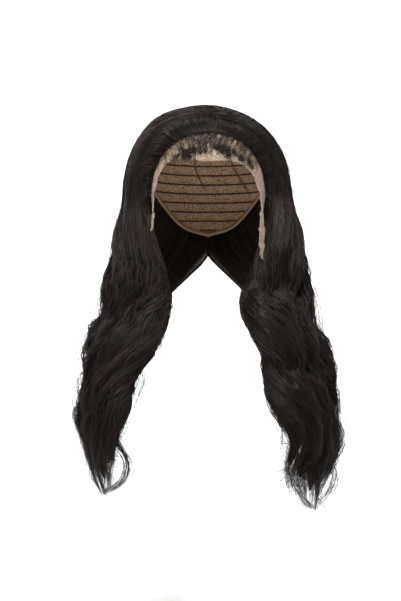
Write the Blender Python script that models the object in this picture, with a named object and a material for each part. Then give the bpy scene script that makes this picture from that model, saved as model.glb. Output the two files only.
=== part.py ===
"""Lace front wig: cap, lace panel, six sections of long wavy hair and baby hair.

The inside of the cap is an ellipsoid that stands for the wearer's head. Each side of the
hair is one mantle of two parameters, u from the front edge round to the back edge and t
from the middle line of the crown down to the tips, cut along its flow lines into three
sections. Each section is two locks wide and every lock ends in a tip of its own.
"""
import math

import bmesh
import bpy
import numpy as np

MM = 0.001

# the head that the cap is made for
HEAD_HALF_BREADTH = 77.0 * MM
HEAD_HALF_LENGTH = 98.0 * MM
CROWN_TO_EARS = 100.0 * MM

# walls and clearances
CAP_WALL = 1.2 * MM
LACE_WALL = 1.0 * MM
NODE_GAP = 0.4 * MM
HAIR_CLEARANCE = 2.0 * MM
MIDDLE_GAP = 0.2 * MM

# cap
SEAM_Y = -20.0 * MM
CAP_EDGE = [  # turn from the front in degrees, height of the lower edge in mm
    (0.0, -112.0),
    (78.0, -108.0),
    (100.0, -92.0),
    (125.0, -112.0),
    (150.0, -142.0),
    (180.0, -154.0),
]
CAP_CORNER = [67.0, 72.0, 76.0, 78.5]  # extra columns where the seam meets the edge
CAP_RINGS = 8

# lace: turn over the head in degrees from the middle, then the raw front edge and the
# back edge of the panel as degrees forward of the ears
LACE_EDGES_LEFT = [
    (-25.0, 69.3, 12.0),
    (0.0, 71.5, 12.0),
    (25.0, 69.3, 12.0),
    (50.0, 60.0, 12.0),
    (67.0, 49.0, 12.0),
    (82.0, 41.0, 12.0),
    (97.0, 38.0, 22.0),
    (112.0, 39.0, 28.0),
    (135.0, 41.0, 32.0),
    (152.0, 40.0, 34.0),
]
LACE_EDGES_RIGHT = [
    (-25.0, 69.3, 12.0),
    (0.0, 71.5, 12.0),
    (25.0, 69.3, 12.0),
    (50.0, 56.5, 12.0),
    (67.0, 41.0, 12.0),
    (82.0, 34.0, 12.0),
    (97.0, 33.0, 21.0),
    (110.0, 35.0, 25.0),
    (125.0, 34.0, 28.0),
]
LACE_COLUMNS = 19
LACE_ROWS = 6
LACE_LOOSE_FROM = 104.0
LACE_LOOSE_AT = 130.0
LACE_LOOSE_EARLIER = 24.0
LACE_RUFFLED_FROM = 55.0
LACE_RUFFLED_AT = 80.0
LACE_HANG_OUTWARD = 3.5 * MM
LACE_HANG_FORWARD = 12.0 * MM
LACE_CRINKLE = 1.6 * MM

# hairline: turn over the head in degrees, degrees forward of the ears
HAIRLINE = [(-35.0, 40.0), (0.0, 47.0), (35.0, 40.0), (62.0, 29.0), (90.0, 20.0)]
WHORL_BACK = 45.0
WHORL_DROP = 8.0 * MM
NAPE_LEVEL = -132.0 * MM

# the share of each lock's length that lies over the head
DOME_SHARE = 0.25

# the falls below the ears. Each row: level, front edge x and y, farthest reach of the
# inner face to the side, depth of its middle, back edge x and y, thickness, all in mm
FALL_LEFT = [
    (-100, 75, -32, 81, 56, 0, 98, 28),
    (-130, 74, -33, 83, 50, 0, 97, 30),
    (-165, 66, -35, 90, 38, 2, 87, 32),
    (-200, 53, -37, 93, 22, 26, 70, 33),
    (-235, 44, -43, 97, 4, 54, 47, 33),
    (-270, 48, -57, 104, -14, 78, 22, 33),
    (-305, 60, -73, 115, -34, 94, -4, 33),
    (-340, 72, -85, 122, -51, 106, -26, 32),
    (-375, 79, -93, 133, -64, 115, -44, 32),
    (-410, 93, -97, 138, -72, 122, -56, 29),
    (-445, 95, -99, 137, -77, 122, -62, 25),
    (-480, 99, -100, 136, -80, 122, -66, 19),
    (-510, 104, -100, 130, -82, 122, -68, 10),
]
FALL_RIGHT = [
    (-100, 75, -32, 81, 56, 0, 98, 29),
    (-130, 74, -33, 83, 50, 0, 97, 29),
    (-165, 66, -35, 90, 38, 2, 87, 32),
    (-200, 55, -37, 94, 22, 26, 70, 33),
    (-235, 46, -43, 101, 4, 54, 47, 33),
    (-270, 53, -57, 107, -14, 78, 22, 33),
    (-305, 68, -73, 119, -34, 96, -4, 33),
    (-340, 90, -85, 124, -51, 110, -26, 31),
    (-375, 98, -93, 133, -64, 118, -44, 31),
    (-410, 111, -97, 138, -72, 126, -56, 27),
    (-445, 115, -99, 136, -77, 127, -62, 19),
    (-490, 120, -100, 132, -80, 126, -66, 8),
]

# thickness over the head: turn over the head in degrees, left and right in mm
CROWN_THICKNESS = [
    (-20, 11, 13),
    (0, 9.5, 9.5),
    (20, 11, 13),
    (40, 17, 22),
    (60, 23, 26),
    (90, 28, 29),
]

# locks
LOCKS = 6
LOCK_COLUMNS = 5
LOCK_ROWS = 30
LOCK_END_LEFT = [0.91, 0.94, 0.97, 0.955, 0.93, 0.90]
LOCK_END_RIGHT = [0.93, 0.975, 0.95, 0.93, 0.92, 0.90]
NOTCH_ROW = 23
NOTCH_AT = 0.76
TIP_WIDTH = 0.24
TIP_THICKNESS = 0.07
LEAST_THICKNESS = 0.8 * MM
GROOVE_CROWN = 0.10
GROOVE_FALL = 0.34
GROOVE_TIP = 0.70
EDGE_ROUNDING = 0.20
EDGE_THICKNESS = 0.14

# cuts between sections: probe in u, and the least width in metres to a whole turn of u
CUT_PROBE = 0.005
LEAST_PACE = 0.02

# body wave of the falls
WAVE_LENGTH = 106.0 * MM
WAVE_SIDEWAYS = 3.5 * MM
WAVE_DEPTH = 5.0 * MM
WAVE_DRIFT = 0.014

# baby hair: turn over the head, degrees forward of the ears, curl radius in mm, curls
CURLS_LEFT = [(16.0, 58.0, 4.6), (34.0, 57.0, 5.4), (50.0, 52.5, 5.6), (66.0, 46.0, 4.6)]
CURLS_RIGHT = [(-54.0, 54.0, 4.8), (-44.0, 56.5, 6.2), (-34.0, 58.0, 5.4)]
CURL_TUBE = 0.9 * MM
CURL_RISE = 1.6 * MM
CURL_SIDES = 6
CURL_STEPS = 44
CURL_TURNS_LEFT = 5.0
CURL_TURNS_RIGHT = 2.0

HAIR_COLOUR = (0.012, 0.009, 0.008, 1.0)
LACE_COLOUR = (0.70, 0.53, 0.37, 1.0)
CAP_COLOUR = (0.45, 0.32, 0.21, 1.0)


def smooth_step(value, low, high):
    """Share from 0 at low to 1 at high with level ends."""
    s = np.clip((value - low) / (high - low), 0.0, 1.0)
    return s * s * (3.0 - 2.0 * s)


def smooth_table(rows, column, where):
    """Curve through a column of a table at the places in where, with eased slopes."""
    table = np.array(rows, float)
    order = np.argsort(table[:, 0])
    x, y = table[order, 0], table[order, column]
    slope = np.gradient(y, x)
    at = np.clip(where, x[0], x[-1])
    i = np.clip(np.searchsorted(x, at, side="right") - 1, 0, len(x) - 2)
    h = x[i + 1] - x[i]
    s = (at - x[i]) / h
    return (
        y[i] * (1 + 2 * s) * (1 - s) ** 2
        + slope[i] * h * s * (1 - s) ** 2
        + y[i + 1] * s * s * (3 - 2 * s)
        + slope[i + 1] * h * s * s * (s - 1)
    )


def on_head(turn, forward, lift=0.0):
    """Point of the head at a turn over its front-back axis and degrees forward of the
    ears, lifted off along the outward normal. Below the ears it hangs straight down."""
    a, f = np.radians(turn), np.radians(forward)
    over = np.clip(a, -math.pi / 2, math.pi / 2)
    hang = np.abs(a) - np.abs(over)
    across = np.cos(f) * np.sin(over)
    along = -np.sin(f)
    up = np.cos(f) * np.cos(over)
    point = np.stack(
        [
            HEAD_HALF_BREADTH * across,
            HEAD_HALF_LENGTH * along,
            CROWN_TO_EARS * (up - 1.0 - np.cos(f) * hang),
        ],
        axis=-1,
    )
    normal = np.stack(
        [across / HEAD_HALF_BREADTH, along / HEAD_HALF_LENGTH, up / CROWN_TO_EARS], axis=-1
    )
    normal /= np.linalg.norm(normal, axis=-1, keepdims=True)
    return point + normal * np.asarray(lift)[..., None], normal


def head_normal(point):
    scale = np.array([HEAD_HALF_BREADTH, HEAD_HALF_LENGTH, CROWN_TO_EARS])
    centre = np.array([0.0, 0.0, -CROWN_TO_EARS])
    normal = (point - centre) / scale**2
    return normal / np.linalg.norm(normal, axis=-1, keepdims=True)


def over_the_head(u, t):
    """Inner face of the mantle over the head, in the frame where the side is +X."""
    turn = 90.0 * np.clip(t / DOME_SHARE, 0.0, 1.0)
    share = np.clip(u * 1.5, 0.0, 1.0)
    hairline = smooth_table(HAIRLINE, 1, turn)
    forward = hairline + (-WHORL_BACK - hairline) * share
    side, _ = on_head(turn, forward)
    # behind the whorl the rows swing round the back of the head to the middle line
    rim, _ = on_head(turn, -WHORL_BACK * np.ones_like(turn))
    v = np.clip((u - 2.0 / 3.0) * 3.0, 0.0, 1.0)
    rim_turn = np.arctan2(rim[..., 0] / HEAD_HALF_BREADTH, rim[..., 1] / HEAD_HALF_LENGTH)
    down = turn / 90.0
    start = CROWN_TO_EARS * (math.cos(math.radians(WHORL_BACK)) - 1.0) - WHORL_DROP
    middle = start + (NAPE_LEVEL - start) * down
    level = rim[..., 2] + (middle - rim[..., 2]) * v
    angle = rim_turn * (1.0 - v)
    ring = np.sqrt(np.clip(1.0 - (level / CROWN_TO_EARS + 1.0) ** 2, 0.0, 1.0))
    back = np.stack(
        [
            HEAD_HALF_BREADTH * ring * np.sin(angle),
            HEAD_HALF_LENGTH * ring * np.cos(angle),
            level,
        ],
        axis=-1,
    )
    point = np.where((u > 2.0 / 3.0)[..., None], back, side)
    return point + head_normal(point) * HAIR_CLEARANCE


def fall_plan(table, u, level):
    """Plan of a fall at a level: half an ellipse turned to run from the front edge,
    out to its reach, to the back edge."""
    front_x, front_y, reach, middle_y, back_x, back_y = (
        smooth_table(table, c, level / MM) * MM for c in range(1, 7)
    )
    mid_x, mid_y = (front_x + back_x) / 2, (front_y + back_y) / 2
    half_x, half_y = (front_x - back_x) / 2, (front_y - back_y) / 2
    bulge = np.sqrt(np.maximum((reach - mid_x) ** 2 - half_x**2, (4 * MM) ** 2))
    x = mid_x + half_x * np.cos(np.pi * u) + bulge * np.sin(np.pi * u)
    y = mid_y + half_y * np.cos(np.pi * u) + (middle_y - mid_y) * np.sin(np.pi * u)
    return x, y


def mantle(table, u, t, phase):
    """Inner face of the mantle of one side, in the frame where that side is +X."""
    fall = np.clip((t - DOME_SHARE) / (1.0 - DOME_SHARE), 0.0, 1.0)
    drift = WAVE_DRIFT * np.sin(np.pi * u) * np.sin(17.0 * fall + 4.0 * u + phase)
    u = np.clip(u + drift * smooth_step(fall, 0.05, 0.5), 0.0, 1.0)
    dome = over_the_head(u, t)
    last = table[-1][0] * MM
    level = dome[..., 2] + (last - dome[..., 2]) * fall
    x, y = fall_plan(table, u, level)
    w = smooth_step(t, DOME_SHARE - 0.06, DOME_SHARE + 0.10)
    x = dome[..., 0] + (x - dome[..., 0]) * w
    y = dome[..., 1] + (y - dome[..., 1]) * w
    # the head and the cap stay clear
    wall = HAIR_CLEARANCE
    ring = 1.0 - ((level + CROWN_TO_EARS) / (CROWN_TO_EARS + wall)) ** 2
    r = (x / (HEAD_HALF_BREADTH + wall)) ** 2 + (y / (HEAD_HALF_LENGTH + wall)) ** 2
    push = np.sqrt(np.maximum(np.maximum(ring, 0.0) / np.maximum(r, 1e-9), 1.0))
    x, y = x * push, y * push
    ramp = smooth_step(fall, 0.08, 0.45)
    swing = 2.0 * np.pi * level / WAVE_LENGTH + phase + 1.6 * u
    x = x + WAVE_SIDEWAYS * ramp * np.sin(swing)
    y = y + WAVE_DEPTH * ramp * np.cos(swing)
    return np.stack([x, y, level], axis=-1)


def mantle_normal(table, u, t, phase, point):
    """Outward normal: the head's own over the crown, the mantle's in the falls."""
    step = 0.012
    u1, u2 = np.clip(u - step, 0, 1), np.clip(u + step, 0, 1)
    t1, t2 = np.clip(t - step, 0, 1), np.clip(t + step, 0, 1)
    du = mantle(table, u2, t, phase) - mantle(table, u1, t, phase)
    dt = mantle(table, u, t2, phase) - mantle(table, u, t1, phase)
    own = np.cross(dt, du)
    own /= np.maximum(np.linalg.norm(own, axis=-1, keepdims=True), 1e-12)
    w = smooth_step(t, DOME_SHARE - 0.05, DOME_SHARE + 0.08)[..., None]
    normal = head_normal(point) * (1 - w) + own * w
    return normal / np.linalg.norm(normal, axis=-1, keepdims=True)


def free_edge(from_edge):
    """Share of the full thickness at a distance in u from a free edge, rounded off."""
    rise = np.sin(np.pi / 2 * np.clip(from_edge / EDGE_ROUNDING, 0, 1)) ** 0.8
    return EDGE_THICKNESS + (1.0 - EDGE_THICKNESS) * rise


def thickness(table, column, u, t, level, lane, below):
    """Thickness of the hair: rounded free edges, a groove at each side of a lock, where
    lane is half a lock from its middle, and thin tips, where below the notch is 1."""
    turn = 90.0 * np.clip(t / DOME_SHARE, 0.0, 1.0)
    crown = smooth_table(CROWN_THICKNESS, column, turn) * MM
    fall = smooth_table(table, 7, level / MM) * MM
    full = np.where(t < DOME_SHARE, crown, fall)
    groove = GROOVE_CROWN + (GROOVE_FALL - GROOVE_CROWN) * smooth_step(t, 0.2, 0.45)
    groove = groove + (GROOVE_TIP - GROOVE_FALL) * below
    lock = 1.0 - groove * (1.0 - np.abs(np.cos(np.pi * lane)) ** 0.6)
    free = smooth_step(t, 0.30, 0.45)
    back = 1.0 + (free_edge(1.0 - u) - 1.0) * free
    tip = np.maximum(np.sqrt(1.0 - below**2), TIP_THICKNESS)
    return full * lock * free_edge(u) * back * tip + LEAST_THICKNESS


def section_places(section, ends):
    """Places of a section's two locks on the mantle, as two grids of u, t, lane and the
    share below the notch. The locks share their rows down to the notch, and below it
    each narrows to a tip of its own."""
    row = np.linspace(0, 1, LOCK_ROWS + 1)[:, None] * np.ones(LOCK_COLUMNS + 1)
    notch = NOTCH_ROW / LOCK_ROWS
    below = np.clip((row - notch) / (1.0 - notch), 0.0, 1.0)
    lane = np.linspace(-0.5, 0.5, LOCK_COLUMNS + 1) * np.ones((LOCK_ROWS + 1, 1))
    narrow = 1.0 - (1.0 - TIP_WIDTH) * below**1.4
    locks = []
    for lock in (2 * section, 2 * section + 1):
        u = (lock + 0.5 + lane * narrow) / LOCKS
        t = np.minimum(row / notch, 1.0) * NOTCH_AT + (ends[lock] - NOTCH_AT) * below
        locks.append(np.stack([u, t, lane, below]))
    return np.stack(locks, axis=1)


def cut_quads(points, a, b, c, d):
    """Whether the diagonal from a to c is the shorter one of each quad a, b, c, d."""
    first = np.linalg.norm(points[a] - points[c], axis=1)
    return first <= np.linalg.norm(points[b] - points[d], axis=1)


def two_triangles(short, a, b, c, d):
    """Triangles of quads, cut from a to c where short is true and else from b to d."""
    short = short[:, None]
    one = np.where(short, np.stack([a, b, c], 1), np.stack([a, b, d], 1))
    two = np.where(short, np.stack([a, c, d], 1), np.stack([b, c, d], 1))
    return np.concatenate([one, two])


def both_faces(outer, inner, a, b, c, d):
    """Triangles of an outer grid and of the inner grid behind it. A quad and the one
    behind it are cut along the same diagonal, so the wall keeps its depth."""
    middle = (outer.reshape(-1, 3) + inner.reshape(-1, 3)) / 2.0
    ahead = two_triangles(cut_quads(middle, a, b, c, d), a, b, c, d)
    return np.concatenate([ahead, ahead[:, ::-1] + len(middle)])


def border(outer, inner, loop):
    """Triangles that join the edge of an outer grid to the edge of the inner grid. The
    shorter diagonal is the same one on the two sides of a cut."""
    points = np.concatenate([outer.reshape(-1, 3), inner.reshape(-1, 3)])
    off, after = len(points) // 2, np.roll(loop, -1)
    corners = (after, loop, loop + off, after + off)
    return two_triangles(cut_quads(points, *corners), *corners)


def closed_sheet(name, outer, inner, material):
    """Closed solid from an outer and an inner grid joined round their border."""
    rows, cols = outer.shape[:2]
    number = np.arange(rows * cols).reshape(rows, cols)
    a, b = number[:-1, :-1].ravel(), number[:-1, 1:].ravel()
    c, d = number[1:, 1:].ravel(), number[1:, :-1].ravel()
    loop = np.concatenate(
        [number[0, :-1], number[:-1, -1], number[-1, :0:-1], number[:0:-1, 0]]
    )
    edge = border(outer, inner, loop)
    faces = np.concatenate([both_faces(outer, inner, a, b, c, d), edge])
    verts = np.concatenate([outer.reshape(-1, 3), inner.reshape(-1, 3)])
    return add_solid(name, verts, faces.tolist(), material)


def forked_sheet(name, outer, inner, material):
    """Closed solid from two outer and two inner grids, side by side: they share their
    common edge down to the notch and part below it."""
    number = np.arange(outer[..., 0].size).reshape(outer.shape[:3])
    number[1, : NOTCH_ROW + 1, 0] = number[0, : NOTCH_ROW + 1, -1]
    used, place = np.unique(number, return_inverse=True)
    number = place.reshape(number.shape)
    left, right = number
    outer, inner = outer.reshape(-1, 3)[used], inner.reshape(-1, 3)[used]
    corners = [
        number[:, :-1, :-1],
        number[:, :-1, 1:],
        number[:, 1:, 1:],
        number[:, 1:, :-1],
    ]
    loop = np.concatenate(
        [
            left[0, :-1],
            right[0, :-1],
            right[:-1, -1],
            right[-1, :0:-1],
            right[:NOTCH_ROW:-1, 0],
            left[NOTCH_ROW:-1, -1],
            left[-1, :0:-1],
            left[:0:-1, 0],
        ]
    )
    edge = border(outer, inner, loop)
    faces = both_faces(outer, inner, *[c.ravel() for c in corners])
    verts = np.concatenate([outer, inner])
    return add_solid(name, verts, np.concatenate([faces, edge]).tolist(), material)


def cap_solid(name, outer, inner, outer_top, inner_top, material):
    """Closed solid from two ringed domes, each with one top point, joined at the rim."""
    rings, cols = outer.shape[:2]
    number = np.arange(rings * cols).reshape(rings, cols)
    after = np.roll(number, -1, axis=1)
    a, b = number[:-1].ravel(), after[:-1].ravel()
    c, d = after[1:].ravel(), number[1:].ravel()
    off = rings * cols
    rim = border(outer, inner, number[-1])[:, ::-1]
    faces = np.concatenate([both_faces(outer, inner, a, b, c, d), rim]).tolist()
    top = 2 * off
    faces += np.stack([np.full(cols, top), after[0], number[0]], 1).tolist()
    faces += np.stack([np.full(cols, top + 1), number[0] + off, after[0] + off], 1).tolist()
    verts = np.concatenate(
        [outer.reshape(-1, 3), inner.reshape(-1, 3), [outer_top], [inner_top]]
    )
    return add_solid(name, verts, faces, material)


def add_solid(name, verts, faces, material):
    """Add a mesh object whose faces all look outward."""
    mesh = bpy.data.meshes.new(name)
    mesh.from_pydata(np.asarray(verts).tolist(), [], faces)
    work = bmesh.new()
    work.from_mesh(mesh)
    bmesh.ops.recalc_face_normals(work, faces=work.faces)
    bmesh.ops.triangulate(work, faces=work.faces)
    if work.calc_volume(signed=True) < 0:
        bmesh.ops.reverse_faces(work, faces=work.faces)
    work.to_mesh(mesh)
    work.free()
    mesh.shade_smooth()
    mesh.materials.append(material)
    solid = bpy.data.objects.new(name, mesh)
    bpy.context.scene.collection.objects.link(solid)
    return solid


def material(name, colour, roughness):
    made = bpy.data.materials.new(name)
    made.use_nodes = True
    shader = made.node_tree.nodes["Principled BSDF"]
    shader.inputs["Base Color"].default_value = colour
    shader.inputs["Roughness"].default_value = roughness
    made.diffuse_color = colour
    return made


def add_cap(look):
    """The cap: a thin dome from the lace seam back and down to the nape."""
    half = np.concatenate([np.linspace(0, 60, 7), CAP_CORNER, np.linspace(84, 180, 12)])
    fold = np.concatenate([half, half[-2:0:-1]])
    turn = np.radians(np.concatenate([half, -half[-2:0:-1]]))
    low = np.arccos(1.0 + smooth_table(CAP_EDGE, 1, fold) * MM / CROWN_TO_EARS)
    seam = -(SEAM_Y + NODE_GAP) / HEAD_HALF_LENGTH
    ahead = np.maximum(np.cos(turn), 1e-6)
    front = np.where(ahead > seam, np.arcsin(np.clip(seam / ahead, 0, 1)), math.pi)
    edge = np.minimum(low, front)
    share = np.linspace(0, 1, CAP_RINGS + 1)[1:, None] ** 0.9
    tilt = share * edge[None, :]
    unit = np.stack(
        [
            np.sin(tilt) * np.sin(turn),
            -np.sin(tilt) * np.cos(turn),
            np.cos(tilt) * np.ones_like(turn),
        ],
        axis=-1,
    )
    size = np.array([HEAD_HALF_BREADTH, HEAD_HALF_LENGTH, CROWN_TO_EARS])
    inner = unit * size - np.array([0.0, 0.0, CROWN_TO_EARS])
    outer = inner + head_normal(inner) * CAP_WALL
    return cap_solid("cap", outer, inner, (0, 0, CAP_WALL), (0, 0, 0), look)


def add_lace(look):
    """The lace panel: on the head above the ears, loose and crinkled below them."""
    def half(table, side):
        share = np.linspace(0, 1, LACE_COLUMNS) ** 0.92
        turn = share * table[-1][0]
        front = smooth_table(table, 1, turn)
        back = np.maximum(smooth_table(table, 2, turn), table[0][2])  # at the seam
        rows = np.linspace(0, 1, LACE_ROWS + 1)
        forward = front[:, None] + (back - front)[:, None] * rows[None, :]
        turns = np.repeat(turn[:, None], LACE_ROWS + 1, 1)
        inner, normal = on_head(turns, forward)
        ahead = 1.0 - rows[None, :]
        loose = turns + LACE_LOOSE_EARLIER * ahead
        loose = smooth_step(loose, LACE_LOOSE_FROM, LACE_LOOSE_AT)
        ruffled = smooth_step(turns, LACE_RUFFLED_FROM, LACE_RUFFLED_AT)
        wave = LACE_CRINKLE * np.sin(0.22 * turns + 2.0 * rows[None, :])
        wave = wave * (loose + 0.5 * ahead**2 * ruffled)
        inner = inner + normal * np.abs(wave)[..., None]
        inner[..., 0] += LACE_HANG_OUTWARD * loose
        inner[..., 1] -= LACE_HANG_FORWARD * loose
        outer = inner + normal * LACE_WALL
        flip = np.array([side, 1.0, 1.0])
        return outer * flip, inner * flip

    outer_left, inner_left = half(LACE_EDGES_LEFT, 1.0)
    outer_right, inner_right = half(LACE_EDGES_RIGHT, -1.0)
    outer = np.concatenate([outer_right[:0:-1], outer_left])
    inner = np.concatenate([inner_right[:0:-1], inner_left])
    return closed_sheet("lace_front", outer, inner, look)


def add_hair(look, word, side, table, column, ends, phase):
    """The three sections of one side, each two locks wide."""
    for section, name in enumerate(("front", "side", "back")):
        u, t, lane, below = section_places(section, ends)
        across = mantle(table, np.clip(u + CUT_PROBE, 0, 1), t, phase)
        across = across - mantle(table, np.clip(u - CUT_PROBE, 0, 1), t, phase)
        pace = np.linalg.norm(across, axis=-1) / (2.0 * CUT_PROBE)
        inset = NODE_GAP / 2.0 / np.maximum(pace, LEAST_PACE)
        u[0, :, 0] += inset[0, :, 0] * (section > 0)
        u[1, :, -1] -= inset[1, :, -1] * (section < 2)
        inner = mantle(table, u, t, phase)
        normal = mantle_normal(table, u, t, phase, inner)
        depth = thickness(table, column, u, t, inner[..., 2], lane, below)
        outer = inner + normal * depth[..., None]
        inner[..., 0] = np.maximum(inner[..., 0], MIDDLE_GAP)
        outer[..., 0] = np.maximum(outer[..., 0], MIDDLE_GAP)
        flip = np.array([side, 1.0, 1.0])
        forked_sheet(f"hair_{name}_{word}", outer * flip, inner * flip, look)


def add_curls(name, stops, turns, look):
    """Baby hair: one tube that loops over the lace from curl to curl."""
    stops = np.array(stops, float)
    s = np.linspace(0, 1, CURL_STEPS + 1)
    place = s * (len(stops) - 1)
    knots = np.column_stack([np.arange(len(stops)), stops])
    turn, forward, radius = (smooth_table(knots, c, place) for c in (1, 2, 3))
    centre, normal = on_head(turn, forward, LACE_WALL + NODE_GAP)
    ahead, _ = on_head(turn + 0.5, forward, LACE_WALL + NODE_GAP)
    along = ahead - centre
    along -= normal * np.sum(along * normal, axis=-1, keepdims=True)
    along /= np.linalg.norm(along, axis=-1, keepdims=True)
    across = np.cross(normal, along)
    angle = 2 * np.pi * turns * s
    swell = np.sin(np.pi * np.clip(s, 0.04, 0.96)) ** 0.35
    r = (radius * MM * swell)[:, None]
    lift = CURL_TUBE + CURL_RISE * (1.0 + np.cos(angle))
    path = centre + along * np.cos(angle)[:, None] * r + across * np.sin(angle)[:, None] * r
    path = path + normal * lift[:, None]
    way = np.gradient(path, axis=0)
    way /= np.linalg.norm(way, axis=-1, keepdims=True)
    side = np.cross(way, normal)
    side /= np.linalg.norm(side, axis=-1, keepdims=True)
    up = np.cross(side, way)
    ring = 2 * np.pi * np.arange(CURL_SIDES) / CURL_SIDES
    tube = (CURL_TUBE * np.sin(np.pi * np.clip(s, 0.06, 0.94)) ** 0.4)[:, None, None]
    rings = path[:, None] + tube * (
        side[:, None] * np.cos(ring)[None, :, None] + up[:, None] * np.sin(ring)[None, :, None]
    )
    verts = np.concatenate([rings.reshape(-1, 3), path[:1], path[-1:]])
    number = np.arange((CURL_STEPS + 1) * CURL_SIDES).reshape(-1, CURL_SIDES)
    after = np.roll(number, -1, axis=1)
    faces = np.stack([number[:-1], after[:-1], after[1:], number[1:]], -1).reshape(-1, 4)
    faces = faces.tolist()
    start, end = len(verts) - 2, len(verts) - 1
    faces += np.stack([np.full(CURL_SIDES, start), after[0], number[0]], 1).tolist()
    faces += np.stack([np.full(CURL_SIDES, end), number[-1], after[-1]], 1).tolist()
    return add_solid(name, verts, faces, look)


def main():
    for leftover in list(bpy.data.objects):
        bpy.data.objects.remove(leftover, do_unlink=True)
    hair = material("hair", HAIR_COLOUR, 0.42)
    lace = material("lace", LACE_COLOUR, 0.85)
    net = material("cap_net", CAP_COLOUR, 0.9)
    add_cap(net)
    add_lace(lace)
    add_hair(hair, "left", 1.0, FALL_LEFT, 1, LOCK_END_LEFT, 0.6)
    add_hair(hair, "right", -1.0, FALL_RIGHT, 2, LOCK_END_RIGHT, 2.4)
    add_curls("baby_hair_left", CURLS_LEFT, CURL_TURNS_LEFT, hair)
    add_curls("baby_hair_right", CURLS_RIGHT, CURL_TURNS_RIGHT, hair)


main()
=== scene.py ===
"""Looks of a lace front wig: long black body wave hair, skin-tone lace and a cap.

Every surface is worked out with numpy from formulas in two parameters, or as a profile
carried along many paths at once.
"""

import math

import bpy
import numpy as np
from bpy.props import FloatProperty, FloatVectorProperty, IntProperty, PointerProperty
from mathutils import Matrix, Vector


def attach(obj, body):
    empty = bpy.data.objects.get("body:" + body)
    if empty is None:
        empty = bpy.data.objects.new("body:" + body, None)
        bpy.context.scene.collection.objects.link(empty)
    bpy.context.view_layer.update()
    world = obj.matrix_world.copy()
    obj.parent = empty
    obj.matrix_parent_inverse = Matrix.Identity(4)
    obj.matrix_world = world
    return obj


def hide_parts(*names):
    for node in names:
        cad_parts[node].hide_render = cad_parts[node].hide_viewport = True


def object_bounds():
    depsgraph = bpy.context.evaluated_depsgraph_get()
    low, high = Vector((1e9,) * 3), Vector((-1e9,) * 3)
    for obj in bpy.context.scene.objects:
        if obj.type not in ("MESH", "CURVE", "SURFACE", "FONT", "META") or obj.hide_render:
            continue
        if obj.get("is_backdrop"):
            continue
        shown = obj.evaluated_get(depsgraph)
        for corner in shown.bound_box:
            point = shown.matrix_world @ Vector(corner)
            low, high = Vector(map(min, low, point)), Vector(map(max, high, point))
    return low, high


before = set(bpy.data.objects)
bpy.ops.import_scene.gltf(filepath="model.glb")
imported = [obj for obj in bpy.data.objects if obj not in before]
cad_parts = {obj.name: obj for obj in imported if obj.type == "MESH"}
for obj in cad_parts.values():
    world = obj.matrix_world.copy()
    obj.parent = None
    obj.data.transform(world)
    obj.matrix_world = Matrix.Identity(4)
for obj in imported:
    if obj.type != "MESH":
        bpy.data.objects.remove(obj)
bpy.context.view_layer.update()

bl_info = {
    "name": "Lace Front Wig",
    "version": (1, 0, 0),
    "blender": (4, 5, 0),
    "location": "3D View > Sidebar > Wig",
    "description": "Builds a long wavy lace front wig with its cap, lace and hairs",
    "category": "Add Mesh",
}

MM = 0.001
MAP = "OFBake"

# ---------------------------------------------------------------- the head and the hair
HEAD_HALF_BREADTH = 77.0 * MM
HEAD_HALF_LENGTH = 98.0 * MM
CROWN_TO_EARS = 100.0 * MM
CAP_WALL = 1.2 * MM
LACE_WALL = 1.0 * MM
HAIR_CLEARANCE = 2.0 * MM
SEAM_Y = -20.0 * MM

# turn from the front in degrees, height of the cap's lower edge in mm
CAP_EDGE = [(0, -112), (78, -108), (100, -92), (125, -112), (150, -142), (180, -154)]

# turn over the head, raw front edge and back edge of the lace in degrees forward
LACE_EDGES = {
    "left": [
        (-25.0, 69.3, 12.0), (0.0, 71.5, 12.0), (25.0, 69.3, 12.0), (50.0, 60.0, 12.0),
        (67.0, 49.0, 12.0), (82.0, 41.0, 12.0), (97.0, 38.0, 22.0), (112.0, 39.0, 28.0),
        (135.0, 41.0, 32.0), (152.0, 40.0, 34.0),
    ],
    "right": [
        (-25.0, 69.3, 12.0), (0.0, 71.5, 12.0), (25.0, 69.3, 12.0), (50.0, 56.5, 12.0),
        (67.0, 41.0, 12.0), (82.0, 34.0, 12.0), (97.0, 33.0, 21.0), (110.0, 35.0, 25.0),
        (125.0, 34.0, 28.0),
    ],
}
LACE_HANG_OUTWARD = 3.5 * MM
LACE_HANG_FORWARD = 12.0 * MM
LACE_CRINKLE = 1.6 * MM

# turn over the head and degrees forward of the ears
HAIRLINE = [(-35.0, 40.0), (0.0, 47.0), (35.0, 40.0), (62.0, 29.0), (90.0, 20.0)]
WHORL_BACK = 45.0
WHORL_DROP = 8.0 * MM
NAPE_LEVEL = -132.0 * MM
DOME_SHARE = 0.25

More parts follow.
